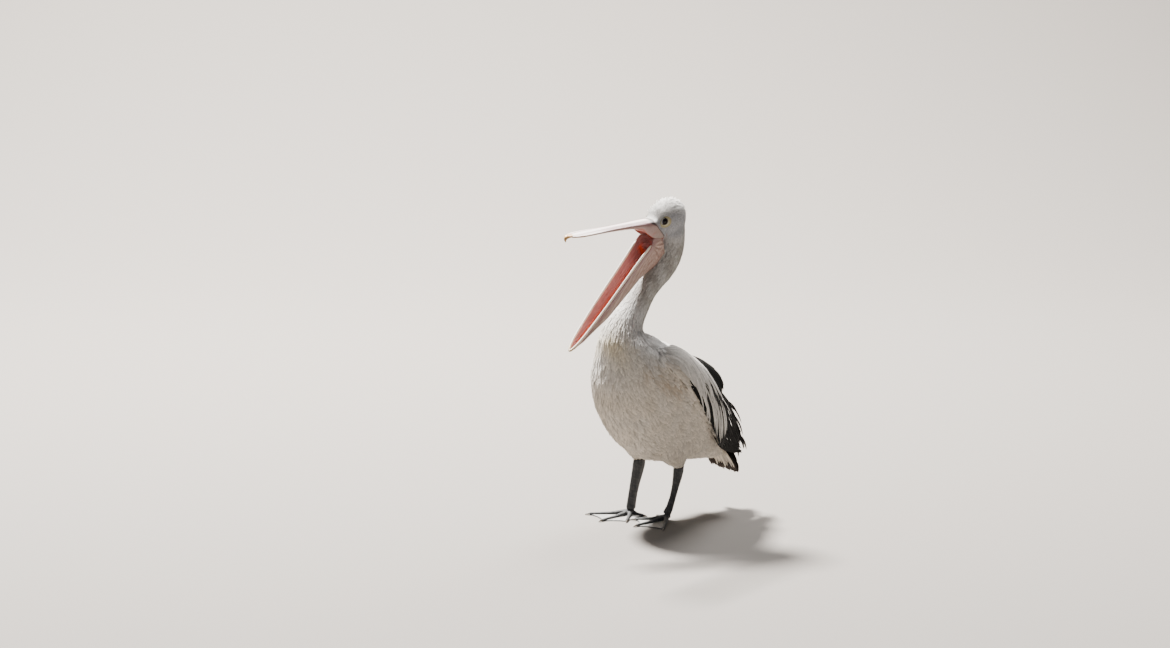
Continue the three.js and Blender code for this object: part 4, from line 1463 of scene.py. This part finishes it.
def make_tail(surface):
    """Stiff brown-black tail feathers in a fan, with white coverts over the underside of their bases."""
    stiff = fan_set(TAIL_LAYERS, 16, 8.0, QUILL_SHAPE, TAIL_BROWN, 1, 0.5)
    long_feathers("tail_feathers", "black_plumage", stiff, surface, 0.14, 0.8, 0.5, "tail")
    # The under-tail coverts take the tan painted shade of the belly.
    soft = fan_set(VENT_LAYERS, 12, 7.5, PLUME_SHAPE, UNDERSIDE_SHADE_TAN, -1, 0.4)
    long_feathers("tail_coverts", "white_plumage", soft, surface, 0.2, 0.7, 0.3)


# ---------------------------------------------------------------- upper bill and bare face
BILL_SIDE = (0.33, 0.19, 0.165)
# The real mauve stripe along the bill's side, made darker as painted shade on that side.
BILL_MAUVE_AND_SHADE = (0.11, 0.042, 0.06)
# Pale horn of the ridge with a painted highlight, laid on its faces that look up.
BILL_RIDGE_PALE_AND_HIGHLIGHT = (0.84, 0.74, 0.70)
# Cream horn towards the tip, with a painted highlight, laid on its upper faces.
BILL_TIP_CREAM_AND_HIGHLIGHT = (0.72, 0.68, 0.66)
BILL_EDGE = (0.36, 0.20, 0.10)
BILL_UNDER = (0.45, 0.17, 0.14)
# Pink-brown bare skin of the cheek, darker from the top down; the darker tones are partly painted shade,
# most at the bottom by the gape.
CHEEK_TONES_AND_SHADE = [(0.34, 0.19, 0.165), (0.25, 0.145, 0.11), (0.15, 0.095, 0.075)]  # from the top down
GAPE_RED = (0.42, 0.06, 0.03)
GAPE_RIM = (0.30, 0.04, 0.025)
FACE_LINE = (0.012, 0.009, 0.008)
ROOF_HEIGHT = 24  # how far the mouth's roof rises between the cheeks


class BillPlaces:
    """Where the upper bill's points lie: shares along, across, on the upper face and on the lower."""

    def __init__(self, points, normals):
        self.head = to_head(points)
        self.facing = (normals @ HEAD_AXES)[:, 2]
        self.share = -self.head[:, 1] / CULMEN_LENGTH
        self.half = read_table(BILL_ROWS, self.share)[0]
        self.across = np.abs(self.head[:, 0]) / self.half
        self.down = -self.head[:, 2]
        self.on_bill = ramp(self.share, 0.0, 0.08)
        self.upper = ramp(self.facing, -0.1, 0.4)
        self.lower = ramp(-self.facing, 0.2, 0.7)
        self.edge = face_edge(self.head)

    def relief(self):
        """Millimetres along the normal: ridge, side grooves, lips, palate, cheek folds, buried edge."""
        share, across, head = self.share, self.across, self.head
        ridge = 1.1 * bump_at(across, 0, 0.26) * self.upper
        groove = -1.2 * bump_at(across, 0.5, 0.13) * self.upper
        groove = groove * ramp(share, 0.03, 0.12) * (1 - ramp(share, 0.9, 0.95))
        lip = 0.5 * bump_at(across, 0.97, 0.1)
        palate = -1.4 * bump_at(across, 0.35, 0.25) + 0.6 * bump_at(across, 0, 0.06)
        buried = 4.5 * ramp(self.edge, 0, 4) + 0.5 * bump_at(self.edge, -1.0, 1.6)
        phase = head[:, 1] * 0.55 + head[:, 2] * 0.75 + 2.5 * waves(head, 22, 8)
        folds = 0.35 * np.sin(phase * 1.5) * (1 - ramp(share, -0.01, 0.05)) * ramp(self.down, 2, 14)
        return (ridge + groove + lip + palate * self.lower) * self.on_bill + folds - buried

    def roof(self):
        """Share of the hollow in the mouth's roof, between the cheeks."""
        middle = np.clip(1 - (np.abs(self.head[:, 0]) / (self.half - 3.5)) ** 4, 0, 1)
        roof = self.lower * middle * (1 - ramp(self.share, 0.1, 0.22))
        return roof * ramp(self.down, 26, 34) * (1 - ramp(self.head[:, 1], 4, 20))

    def tones(self):
        share, across, head, down = self.share, self.across, self.head, self.down
        streak = 0.75 + 0.25 * waves(head * (1, 0.15, 1), 12, 9)
        # The mauve stripe along the side, darkened by painted shade.
        mauve_and_shade = ramp(across, 0.20, 0.42) * (1 - 0.75 * ramp(across, 0.84, 0.98))
        mauve_and_shade = mauve_and_shade * ramp(self.facing, -0.7, 0.0) * streak * (1 - 0.45 * ramp(share, 0.6, 0.8))
        mauve_and_shade = mauve_and_shade * ramp(share, -0.06, 0.02) * ramp(down, -40, -18 + 30 * self.on_bill)
        # Cream horn towards the tip with a painted highlight: only on the upper faces.
        tip = ramp(share, 0.5, 0.75) * self.upper * (1 - bump_at(across, 0.5, 0.16))
        cheek = 1 - ramp(share, -0.02, 0.14)
        under = ramp(-self.facing, 0.35, 0.8) * (1 - ramp(share, 0.05, 0.2))
        rim = cheek * bump_at(head[:, 1] * 0.62 - head[:, 2] * 0.78, 12, 5) * ramp(down, 24, 34)
        line_width = 1.8 + 4.8 * ramp(head[:, 2], -14, 0)
        return painted(
            len(head), BILL_SIDE,
            (BILL_MAUVE_AND_SHADE, mauve_and_shade * 0.95),
            # Painted highlight over the ridge's pale horn, on the upper faces only.
            (BILL_RIDGE_PALE_AND_HIGHLIGHT, ramp(share, -0.02, 0.03) * bump_at(across, 0, 0.30) * self.upper * 0.95),
            (BILL_TIP_CREAM_AND_HIGHLIGHT, tip * 0.85),
            (BILL_EDGE, ramp(share, 0.6, 0.85) * bump_at(across, 1.02, 0.12) * 0.85),
            (BILL_UNDER, self.lower * self.on_bill * 0.6),
            # Cheek skin with painted shade, darker towards the bottom.
            (CHEEK_TONES_AND_SHADE[0], cheek * ramp(down, -1, 8) * 0.85),
            (CHEEK_TONES_AND_SHADE[1], cheek * ramp(down, 10, 26) * 0.85),
            (CHEEK_TONES_AND_SHADE[2], cheek * ramp(down - 0.1 * head[:, 1], 34, 46) * 0.7),
            (GAPE_RED, np.maximum(self.roof(), under) * 0.9),
            (GAPE_RIM, rim * 0.7),
            (FACE_LINE, bump_at(self.edge, -0.9 * line_width, line_width)),
        )


def make_bill():
    points, faces = join_all([clipped(loft, EDGE_SLOPE, -BILL_CUT) for loft in (head_loft, bill_loft)])
    bill = remade(new_object("upper_bill", points, faces, bill_horn), BILL_VOXEL, 4)
    points, normals = points_of(bill), normals_of(bill)
    places = BillPlaces(points, normals)
    raised = np.outer(places.roof() * ROOF_HEIGHT * MM, HEAD_AXES[:, 2])
    set_points(bill, points + normals * places.relief()[:, None] * MM + raised)
    finish_painted(bill, places.tones(), "bill", "bill_upper")


def make_nail():
    """The hooked nail at the upper bill's tip."""
    share, z, half, thick = read_rows(NAIL_ROWS, np.linspace(0, len(NAIL_ROWS) - 1, 50)).T
    path = np.stack([np.zeros_like(z), -share * CULMEN_LENGTH, z], -1)
    points, faces = tube(rod_rings(path, half, thick, 32))
    keel = 0.5 * bump_at(points[:, 0], 0, 2.5) * ramp(points[:, 2], -12, 0)
    points[:, 2] += keel
    nail = new_object("nail", from_head(points), faces, nail_horn)
    tones = painted(
        len(points), (0.50, 0.28, 0.10),
        ((0.62, 0.45, 0.24), ramp(-points[:, 1], 372, 360)),
        ((0.25, 0.12, 0.05), ramp(-points[:, 2], 11, 19)),
    )
    finish_painted(nail, tones, "bill_nail", "bill_nail")


# ---------------------------------------------------------------- lower jaw and pouch
JAW_SIDE = (0.72, 0.55, 0.42)
JAW_TOP = (0.86, 0.79, 0.70)
JAW_UNDER = (0.50, 0.26, 0.22)
JAW_TIP = (0.45, 0.30, 0.14)
# The jaw's side: share of its length, half its thickness and half its height.
JAW_BAR = [[0, 1.0, 1.6], [0.03, 2.3, 4.6], [0.5, 2.1, 4.2], [0.9, 2.4, 3.6], [1, 3.0, 3.2]]


def jaw_outline(steps):
    """The mouth's outline seen from above, from the left gape round the tip to the right gape."""
    side = [(half, -share * MANDIBLE_LENGTH) for share, half, _ in JAW_ROWS if share >= 0]
    rows = side + [(0, -MANDIBLE_LENGTH)] + [(-x, y) for x, y in reversed(side)]
    return read_rows(rows, np.linspace(0, len(rows) - 1, steps))


def make_jaw():
    flat = jaw_outline(240)
    path = np.stack([flat[:, 0], flat[:, 1], np.zeros(len(flat))], -1)
    half, height = read_table(JAW_BAR, -flat[:, 1] / MANDIBLE_LENGTH)
    points, faces = tube(rod_rings(path, half, height, 28, 2.4))
    jaw = new_object("lower_jaw", from_jaw(points), faces, jaw_horn)
    tones = painted(
        len(points), JAW_SIDE,
        (JAW_TOP, ramp(points[:, 2], 0.0, 3.0)),
        (JAW_UNDER, ramp(-points[:, 2], 1.0, 4.0) * 0.7),
        (JAW_TIP, ramp(-points[:, 1] / MANDIBLE_LENGTH, 0.9, 1.0) * 0.7),
    )
    finish_painted(jaw, tones, "jaw", "mandible")


POUCH_ROWS = 280  # steps along the pouch
POUCH_SIDES = 150  # and points across it, from one rim under to the other
POUCH_SKIN = (0.30, 0.17, 0.14)
POUCH_CREST = (0.52, 0.36, 0.29)
POUCH_FINE = (0.46, 0.30, 0.24)
POUCH_UPPER = (0.23, 0.105, 0.115)
POUCH_LOW = (0.30, 0.19, 0.15)
POUCH_NOTCH = (0.60, 0.50, 0.38)
POUCH_STREAK = (0.02, 0.014, 0.012)
LINING = (0.40, 0.17, 0.16)
LINING_FINE = (0.52, 0.30, 0.29)
# The lining's real orange-red band, brightened as painted light shining through the pouch; the rear one is
# that painted light by the throat.
LINING_BAND_LIT_THROUGH = (0.66, 0.10, 0.035)
LINING_REAR_LIT_THROUGH = (0.70, 0.09, 0.03)


def pouch_relief(share, angle, z, y, flat):
    """Millimetres of ridges, wrinkles and slack folds over the pouch's grid of points."""
    ridges = np.sin(angle[None] * 46 + 3 * np.sin(share * 9)) * 0.5
    ridges = ridges + np.sin(angle[None] * 103 + 5 * np.sin(share * 14)) * 0.22
    strong = (1 - ramp(share, 0.1, 0.55)) * 0.9 + 0.6
    wrinkle = waves(flat * (1, 0.35, 1), 16, 21).reshape(z.shape) * 0.9 * (1 - ramp(share, 0.02, 0.4))
    # Slack folds fan back from the corner of the gape.
    fan = np.arctan2(z + 8, y - 2.0)
    return ridges * strong + (wrinkle + 0.6 * np.sin(fan * 15) * (1 - ramp(share, -0.02, 0.12)))


def pouch_wall(inset):
    """A grid of points over the pouch, inset millimetres inside its outer face, in the jaw's frame."""
    share = np.linspace(-POUCH_REAR / MANDIBLE_LENGTH, 0.965, POUCH_ROWS)
    u = np.interp(share, [row[0] for row in JAW_ROWS], np.arange(len(JAW_ROWS)))
    _, half, depth = read_rows(JAW_ROWS, u).T[:, :, None]
    half = half + POUCH_BULGE * np.minimum(1, depth / 40)
    angle = np.linspace(-math.pi / 2, math.pi / 2, POUCH_SIDES)
    sin, cos = squared(np.sin(angle), POUCH_ROUND), squared(np.abs(np.cos(angle)), POUCH_ROUND)
    share = share[:, None]
    y = np.repeat(-share * MANDIBLE_LENGTH, POUCH_SIDES, 1)
    bottom = pouch_bottom(depth)
    for _ in range(3):  # the rear edge slants, so height and reach back depend on each other
        top = read_table(POUCH_TOP, y)[0]
        z = top - (top - bottom - inset) * cos[None]
        back = (POUCH_REAR + POUCH_REAR_SLOPE * z) / POUCH_REAR
        y = np.where(share < 0, -share * MANDIBLE_LENGTH * back, y)
    far = ramp(-share / (POUCH_REAR / MANDIBLE_LENGTH), 0.8, 1.0)
    tuck = 1 - 0.2 * ramp(-share, -0.01, 0.05) * (1 - cos[None]) ** 3 - 0.28 * far
    x = (half - inset) * sin[None] * tuck
    grid = np.stack([x, y, z], -1)
    relief = pouch_relief(share, angle, z, y, grid.reshape(-1, 3))
    fade = np.clip(cos / 0.3, 0, 1)[None] * ramp(1 - share, 0.04, 0.14)
    normal = unit(np.stack([sin[None] / half, np.zeros_like(x), -cos[None] / depth], -1))
    return grid + normal * (relief * fade)[..., None]


def pouch_tones(points):
    """Tones of the pouch's outer skin and of its lining, for points in the jaw's frame; the lining's
    brightest orange-red is painted light shining through the pouch.
    """
    _, y, z = points.T
    share = -y / MANDIBLE_LENGTH
    low = np.clip(-(z + RIM_DEPTH) / np.maximum(read_table(JAW_ROWS, share)[1], 1), 0, 1)
    fine = share_waves(points * (1, 0.15, 1), 7, 5)
    # Ridges run down and forward from the corner of the gape.
    around = np.degrees(np.arctan2(-(z - 12), -(y - 30)))
    ridge = 0.5 + 0.5 * np.sin(around * 0.9 + 1.5 * waves(points, 40, 17))
    behind = POUCH_REAR + POUCH_REAR_SLOPE * z - y
    streak = bump_at(behind, 2.5, 2.4) * ramp(-z, 38, 46) * (1 - ramp(-z, 78, 88))
    outer = painted(
        len(points), POUCH_SKIN,
        (POUCH_CREST, ramp(ridge, 0.45, 1.0) * 0.8),
        (POUCH_FINE, fine * 0.35),
        (POUCH_UPPER, (1 - ramp(-z, 5, 20)) * (0.45 + 0.4 * (1 - ridge))),
        (POUCH_LOW, low * 0.5),
        (POUCH_NOTCH, bump_at(behind, 6.5, 2.5) * ramp(-z, 26, 34) * 0.7),
        (POUCH_STREAK, streak),
    )
    inner = painted(
        len(points), LINING,
        (LINING_FINE, fine * 0.5),
        # Painted light shining through the pouch: bright orange-red low in the lining and by the throat.
        (LINING_BAND_LIT_THROUGH, ramp(low, 0.45, 0.75)),
        (LINING_REAR_LIT_THROUGH, bump_at(share, -0.01, 0.03) * ramp(low, 0.12, 0.3)),
        (MOUTH_RED * 0.4, (1 - ramp(share, -0.16, -0.09)) * 0.9),
    )
    return outer, inner


def make_pouch():
    """A thin bag hung from the jaw's sides, its outer and inner faces ridged lengthwise."""
    points, faces = tube(np.concatenate([pouch_wall(0), pouch_wall(POUCH_WALL)[:, ::-1]], 1))
    pouch = new_object("pouch_bag", from_jaw(points), faces, pouch_skin)
    inside = np.zeros(len(points), bool)
    inside[:POUCH_ROWS * POUCH_SIDES * 2] = np.tile(np.repeat([False, True], POUCH_SIDES), POUCH_ROWS)
    outer, inner = pouch_tones(points)
    finish_painted(pouch, np.where(inside[:, None], inner, outer), "pouch", "pouch")


# ---------------------------------------------------------------- eyes
IRIS = (0.014, 0.008, 0.005)
IRIS_EDGE = (0.008, 0.006, 0.005)
PUPIL = (0.004, 0.004, 0.004)
RING_SKIN = (0.30, 0.25, 0.12)
RING_MOTTLE = (0.36, 0.31, 0.17)
RING_PALE = (0.42, 0.37, 0.22)
LID_DARK = (0.02, 0.016, 0.014)
RING_BORDER = (0.035, 0.028, 0.024)
LID_ROWS, LID_SIDES = 44, 112  # points from the opening outward, and round it


def make_eyeball(word, side):
    """A dark eyeball with a slight bulge over the pupil."""
    centre, out, up, ahead = eye_axes(side, EYE_LOOK)
    polar = np.linspace(0, math.pi, 49)[:, None]
    angle = np.linspace(0, 2 * math.pi, 64, endpoint=False)[None]
    z = np.repeat(np.cos(polar), 64, 1)
    cornea = 0.6 * bump_at(np.sin(polar), 0, 0.6) * (z > 0)
    ball = np.stack([np.sin(polar) * np.cos(angle), np.sin(polar) * np.sin(angle), z], -1)
    ball = ball * (EYE_RADIUS + cornea)[..., None]
    points, faces = tube(ball[1:-1] @ np.stack([ahead, up, out], 0) + centre)
    eye = new_object("eyeball_" + word, from_head(points), faces, eye_gloss)
    gap = points - centre
    off = np.linalg.norm(gap - (gap @ out)[:, None] * out, axis=1)
    tones = painted(len(points), PUPIL, (IRIS, ramp(off, 4.0, 4.8)), (IRIS_EDGE, ramp(off, 6.6, 7.6)))
    finish_painted(eye, tones, "eye", "eye_" + word)


def lid_grid(side, share, angle):
    """The raised lids round the opening; their height is measured from the eye's centre."""
    centre, out, up, ahead = eye_axes(side, EYE_LOOK)
    radius = EYE_OPENING - 0.5 + 4.0 * share
    crest = 1.5 * bump_at(share, 0.28, 0.2) - 1.6 * ramp(share, 0.3, 0.9)
    height = np.sqrt(EYE_RADIUS**2 - (EYE_OPENING - 0.6) ** 2) + 0.7 + 0.9 * ramp(share, 0, 0.25) + crest
    x = radius * np.cos(angle)
    y = radius * np.sin(angle) * (1 - 0.06 * (1 - share))
    return np.stack([x, y, height + 0 * angle], -1) @ np.stack([ahead, up, out], 0) + centre


def seated_grid(side, share, angle, tree):
    """The bare ring laid on the face's skin, a little plump and finely folded."""
    centre, out, up, ahead = eye_axes(side, RING_LOOK)
    spread = 0.45 + 0.58 * share
    x = RING_SHIFT[0] * share + RING[0] * spread * np.cos(angle)
    y = RING_SHIFT[1] * share + RING[1] * spread * np.sin(angle)
    grid = centre + x[..., None] * ahead + y[..., None] * up + 8.0 * out
    folds = 0.28 * np.sin(share * 34 + 0.8 * np.sin(angle * 3)) + 0.12 * np.sin(angle * 37)
    plump = 1.9 * (1 - ramp(share, 0.75, 1.0)) - 0.9 + folds * bump_at(share, 0.6, 0.3)
    for place, rise in zip(grid.reshape(-1, 3), plump.ravel()):
        spot, normal, _, _ = tree.find_nearest(from_head(place))
        place[:] = to_head(np.array(spot + normal * float(rise) * MM))
    return grid


def make_eye_ring(word, side, tree):
    """Raised lids that run out into a ring of bare skin on the face, as one closed band."""
    share = np.linspace(0, 1, LID_ROWS)[:, None]
    angle = np.linspace(0, 2 * math.pi, LID_SIDES, endpoint=False)[None]
    lid, seated = lid_grid(side, share, angle), seated_grid(side, share, angle, tree)
    blend = ramp(share, 0.28, 0.62)[..., None]
    top = lid * (1 - blend) + seated * blend
    centre, out, up, ahead = eye_axes(side, RING_LOOK)
    points = np.concatenate([top, (top - out * 1.5)[::-1]], 0).reshape(-1, 3)
    closing = grid_faces(2, LID_SIDES)
    last = (2 * LID_ROWS - 1) * LID_SIDES
    closing = np.where(closing >= LID_SIDES, closing - LID_SIDES, closing + last)
    quads = np.concatenate([grid_faces(2 * LID_ROWS, LID_SIDES), closing])
    quads = facing_out(points - centre, quads)
    ring = new_object("eye_ring_" + word, from_head(points), quads, ring_skin)
    along = np.repeat(np.concatenate([share[:, 0], share[::-1, 0]]), LID_SIDES)
    low_rear = ramp(-(points - centre) @ (ahead * 0.6 + up * 0.8), -2, 12)
    tones = painted(
        len(points), RING_SKIN,
        (RING_MOTTLE, ramp(share_waves(points, 8, 6), 0.3, 1.0)),
        (RING_PALE, bump_at(along, 0.42, 0.08)),
        (LID_DARK, 1 - ramp(along, 0.32, 0.46)),
        (RING_BORDER, bump_at(along, 0.93, 0.07) * (0.25 + 0.75 * low_rear)),
    )
    finish_painted(ring, tones, "eye")


# ---------------------------------------------------------------- legs and feet
LEG_GREY = (0.040, 0.042, 0.045)
LEG_MOTTLE = (0.105, 0.105, 0.10)
# Painted highlight: the pale grey of the webs' upper faces.
WEB_HIGHLIGHT_GREY = (0.36, 0.35, 0.33)
SOLE_HEIGHT = 1.2  # points lower than this stay as flat on the floor as they were
CLAW_DARK = (0.035, 0.03, 0.026)
CLAW_PALE = (0.16, 0.13, 0.10)


def make_leg(word):
    """Shank, toes and webs in one piece, with a row of broad scutes down the front of the shank."""
    points, faces = joined_nodes(["leg_" + word, "foot_" + word])
    leg = remade(new_object("shank_" + word, points, faces, leg_skin), LEG_VOXEL, 5, 0.4)
    points, normals = points_of(leg), normals_of(leg)
    floor = points / MM
    height = floor[:, 2]
    scutes = 0.35 * np.sin(height * 1.35 + 1.2 * waves(floor, 30, 11))
    scutes = scutes * ramp(-normals[:, 1], 0.1, 0.7) * ramp(height, 18, 32)
    shift = scutes + 0.3 * waves(floor, 6, 12) * ramp(height, 14, 24) + 1.1 * ramp(height, 14, 30)
    moved = points + normals * shift[:, None] * MM
    moved[:, 2] = np.maximum(np.where(height < SOLE_HEIGHT, points[:, 2], moved[:, 2]), 0)
    set_points(leg, moved)
    # The webs' upward faces are paler, as a painted highlight on the dark grey skin; a band along their free
    # edges keeps the dark tone, as painted shadow under the edge over a dark rim.
    border = KDTree(len(points))
    for k in np.flatnonzero((np.abs(normals[:, 2]) < 0.6) & (height < 3.0)):
        border.insert(points[k], int(k))
    border.balance()
    off_edge = np.array([border.find(place)[2] for place in points]) / MM
    # Painted highlight on the webs' upper faces, away from their free edges.
    web = (1 - ramp(height, 2.8, 4.2)) * ramp(normals[:, 2], 0.5, 0.9) * ramp(off_edge, 2.0, 3.5)
    tones = painted(
        len(points), LEG_GREY,
        (LEG_MOTTLE, ramp(share_waves(floor, 12, 13), 0.3, 1.0) * 0.5),
        (WEB_HIGHLIGHT_GREY, web * 0.9),
    )
    finish_painted(leg, tones, "leg", "leg_" + word, "foot_" + word)


def make_claws(word):
    """A claw on each toe."""
    for toe in ("outer", "middle", "inner", "hind"):
        node = "claw_%s_%s" % (toe, word)
        points, faces = joined_nodes([node])
        claw = remade(new_object("nail_%s_%s" % (toe, word), points, faces, claw_horn), CLAW_VOXEL, 3)
        points = points_of(claw) / MM
        tones = painted(len(points), CLAW_DARK, (CLAW_PALE, share_waves(points, 5, 14)))
        finish_painted(claw, tones, "claw", node)


# ---------------------------------------------------------------- build
surface = make_coat(make_skin())
for word, side in (("left", 1), ("right", -1)):
    make_wing(word, side, surface)
    make_flight(word, side, surface)
    make_scapulars(word, side, surface)
    make_eyeball(word, side)
    make_eye_ring(word, side, surface.tree)
    make_leg(word)
    make_claws(word)
make_tail(surface)
make_bill()
make_nail()
make_jaw()
make_pouch()

# ---------------------------------------------------------------- stage, light and camera
CAMERA_PLACE = (6.1883, -4.8348, 1.9465)  # metres, from the floor between the feet
CAMERA_TURN = math.radians(53.331)
CAMERA_TILT = math.radians(79.808)
CAMERA_LENS = 91.08
CAMERA_SENSOR = 36
FLOOR_TONE = (0.20, 0.184, 0.167)
FLOOR_DROP = 0.0004  # metres below the soles
FLOOR_WIDTH = 28.0
FLOOR_NEAR = -9.0  # the floor's reach towards the camera, and on to the wall behind
FLOOR_WALL = 6.0
WALL_CORNER = 2.5  # radius of the bend from floor to wall
WALL_TOP = 8.0
SKY = (0.80, 0.88, 1.0)
SKY_STRENGTH = 0.16
LIGHT_TARGET = (0, 0, 0.45)
# Name, place, size in metres, power in watts and colour.
LIGHTS = [
    ("key", (-4.31, 0.23, 7.17), 1.2, 6400, (1.0, 0.97, 0.93)),
    ("rear", (-1.8, 3.6, 4.95), 2.5, 560, (1.0, 0.98, 0.96)),
    ("fill", (4.5, -2.8, 2.2), 4.0, 30, (1.0, 0.95, 0.90)),
]


def make_stage():
    """A plain floor that turns up into a backdrop away from the camera."""
    away = Vector((-math.sin(CAMERA_TURN), math.cos(CAMERA_TURN), 0))
    across = Vector((away.y, -away.x, 0)) * FLOOR_WIDTH / 2
    flat = FLOOR_WALL - WALL_CORNER
    profile = [(FLOOR_NEAR, 0.0), (flat, 0.0)]
    for a in np.linspace(0.1, math.pi / 2, 14):
        profile.append((flat + WALL_CORNER * math.sin(a), WALL_CORNER - WALL_CORNER * math.cos(a)))
    profile.append((FLOOR_WALL, WALL_TOP))
    points = [
        away * reach + across * s + Vector((0, 0, height - FLOOR_DROP))
        for reach, height in profile for s in (-1, 1)
    ]
    near = 2 * np.arange(len(profile) - 1)
    faces = np.stack([near, near + 1, near + 3, near + 2], -1)
    shader = Shader("floor", 0.9)
    shader.surface.inputs["Base Color"].default_value = (*FLOOR_TONE, 1)
    floor = new_object("floor", np.array(points), faces, shader.material)


def add_light(name, place, size, power, colour):
    data = bpy.data.lights.new(name, "AREA")
    data.shape = "DISK"
    data.size = size
    data.energy = power
    data.color = colour
    lamp = into_scene(name, data)
    lamp.location = place
    lamp.rotation_euler = (Vector(LIGHT_TARGET) - Vector(place)).to_track_quat("-Z", "Y").to_euler()


def make_view():
    """The photo's view of the bird, a pale blue sky and the lights."""
    data = bpy.data.cameras.new("camera")
    data.lens = CAMERA_LENS
    data.sensor_width = CAMERA_SENSOR
    camera = into_scene("camera", data)
    camera.location = Vector(CAMERA_PLACE) + Vector(FLOOR_ORIGIN * MM)
    camera.rotation_euler = Euler((CAMERA_TILT, 0, CAMERA_TURN))
    bpy.context.scene.camera = camera
    world = bpy.data.worlds.new("world")
    world.use_nodes = True
    background = world.node_tree.nodes["Background"]
    background.inputs["Color"].default_value = (*SKY, 1)
    background.inputs["Strength"].default_value = SKY_STRENGTH
    bpy.context.scene.world = world
    for light in LIGHTS:
        add_light(*light)


make_stage()
make_view()
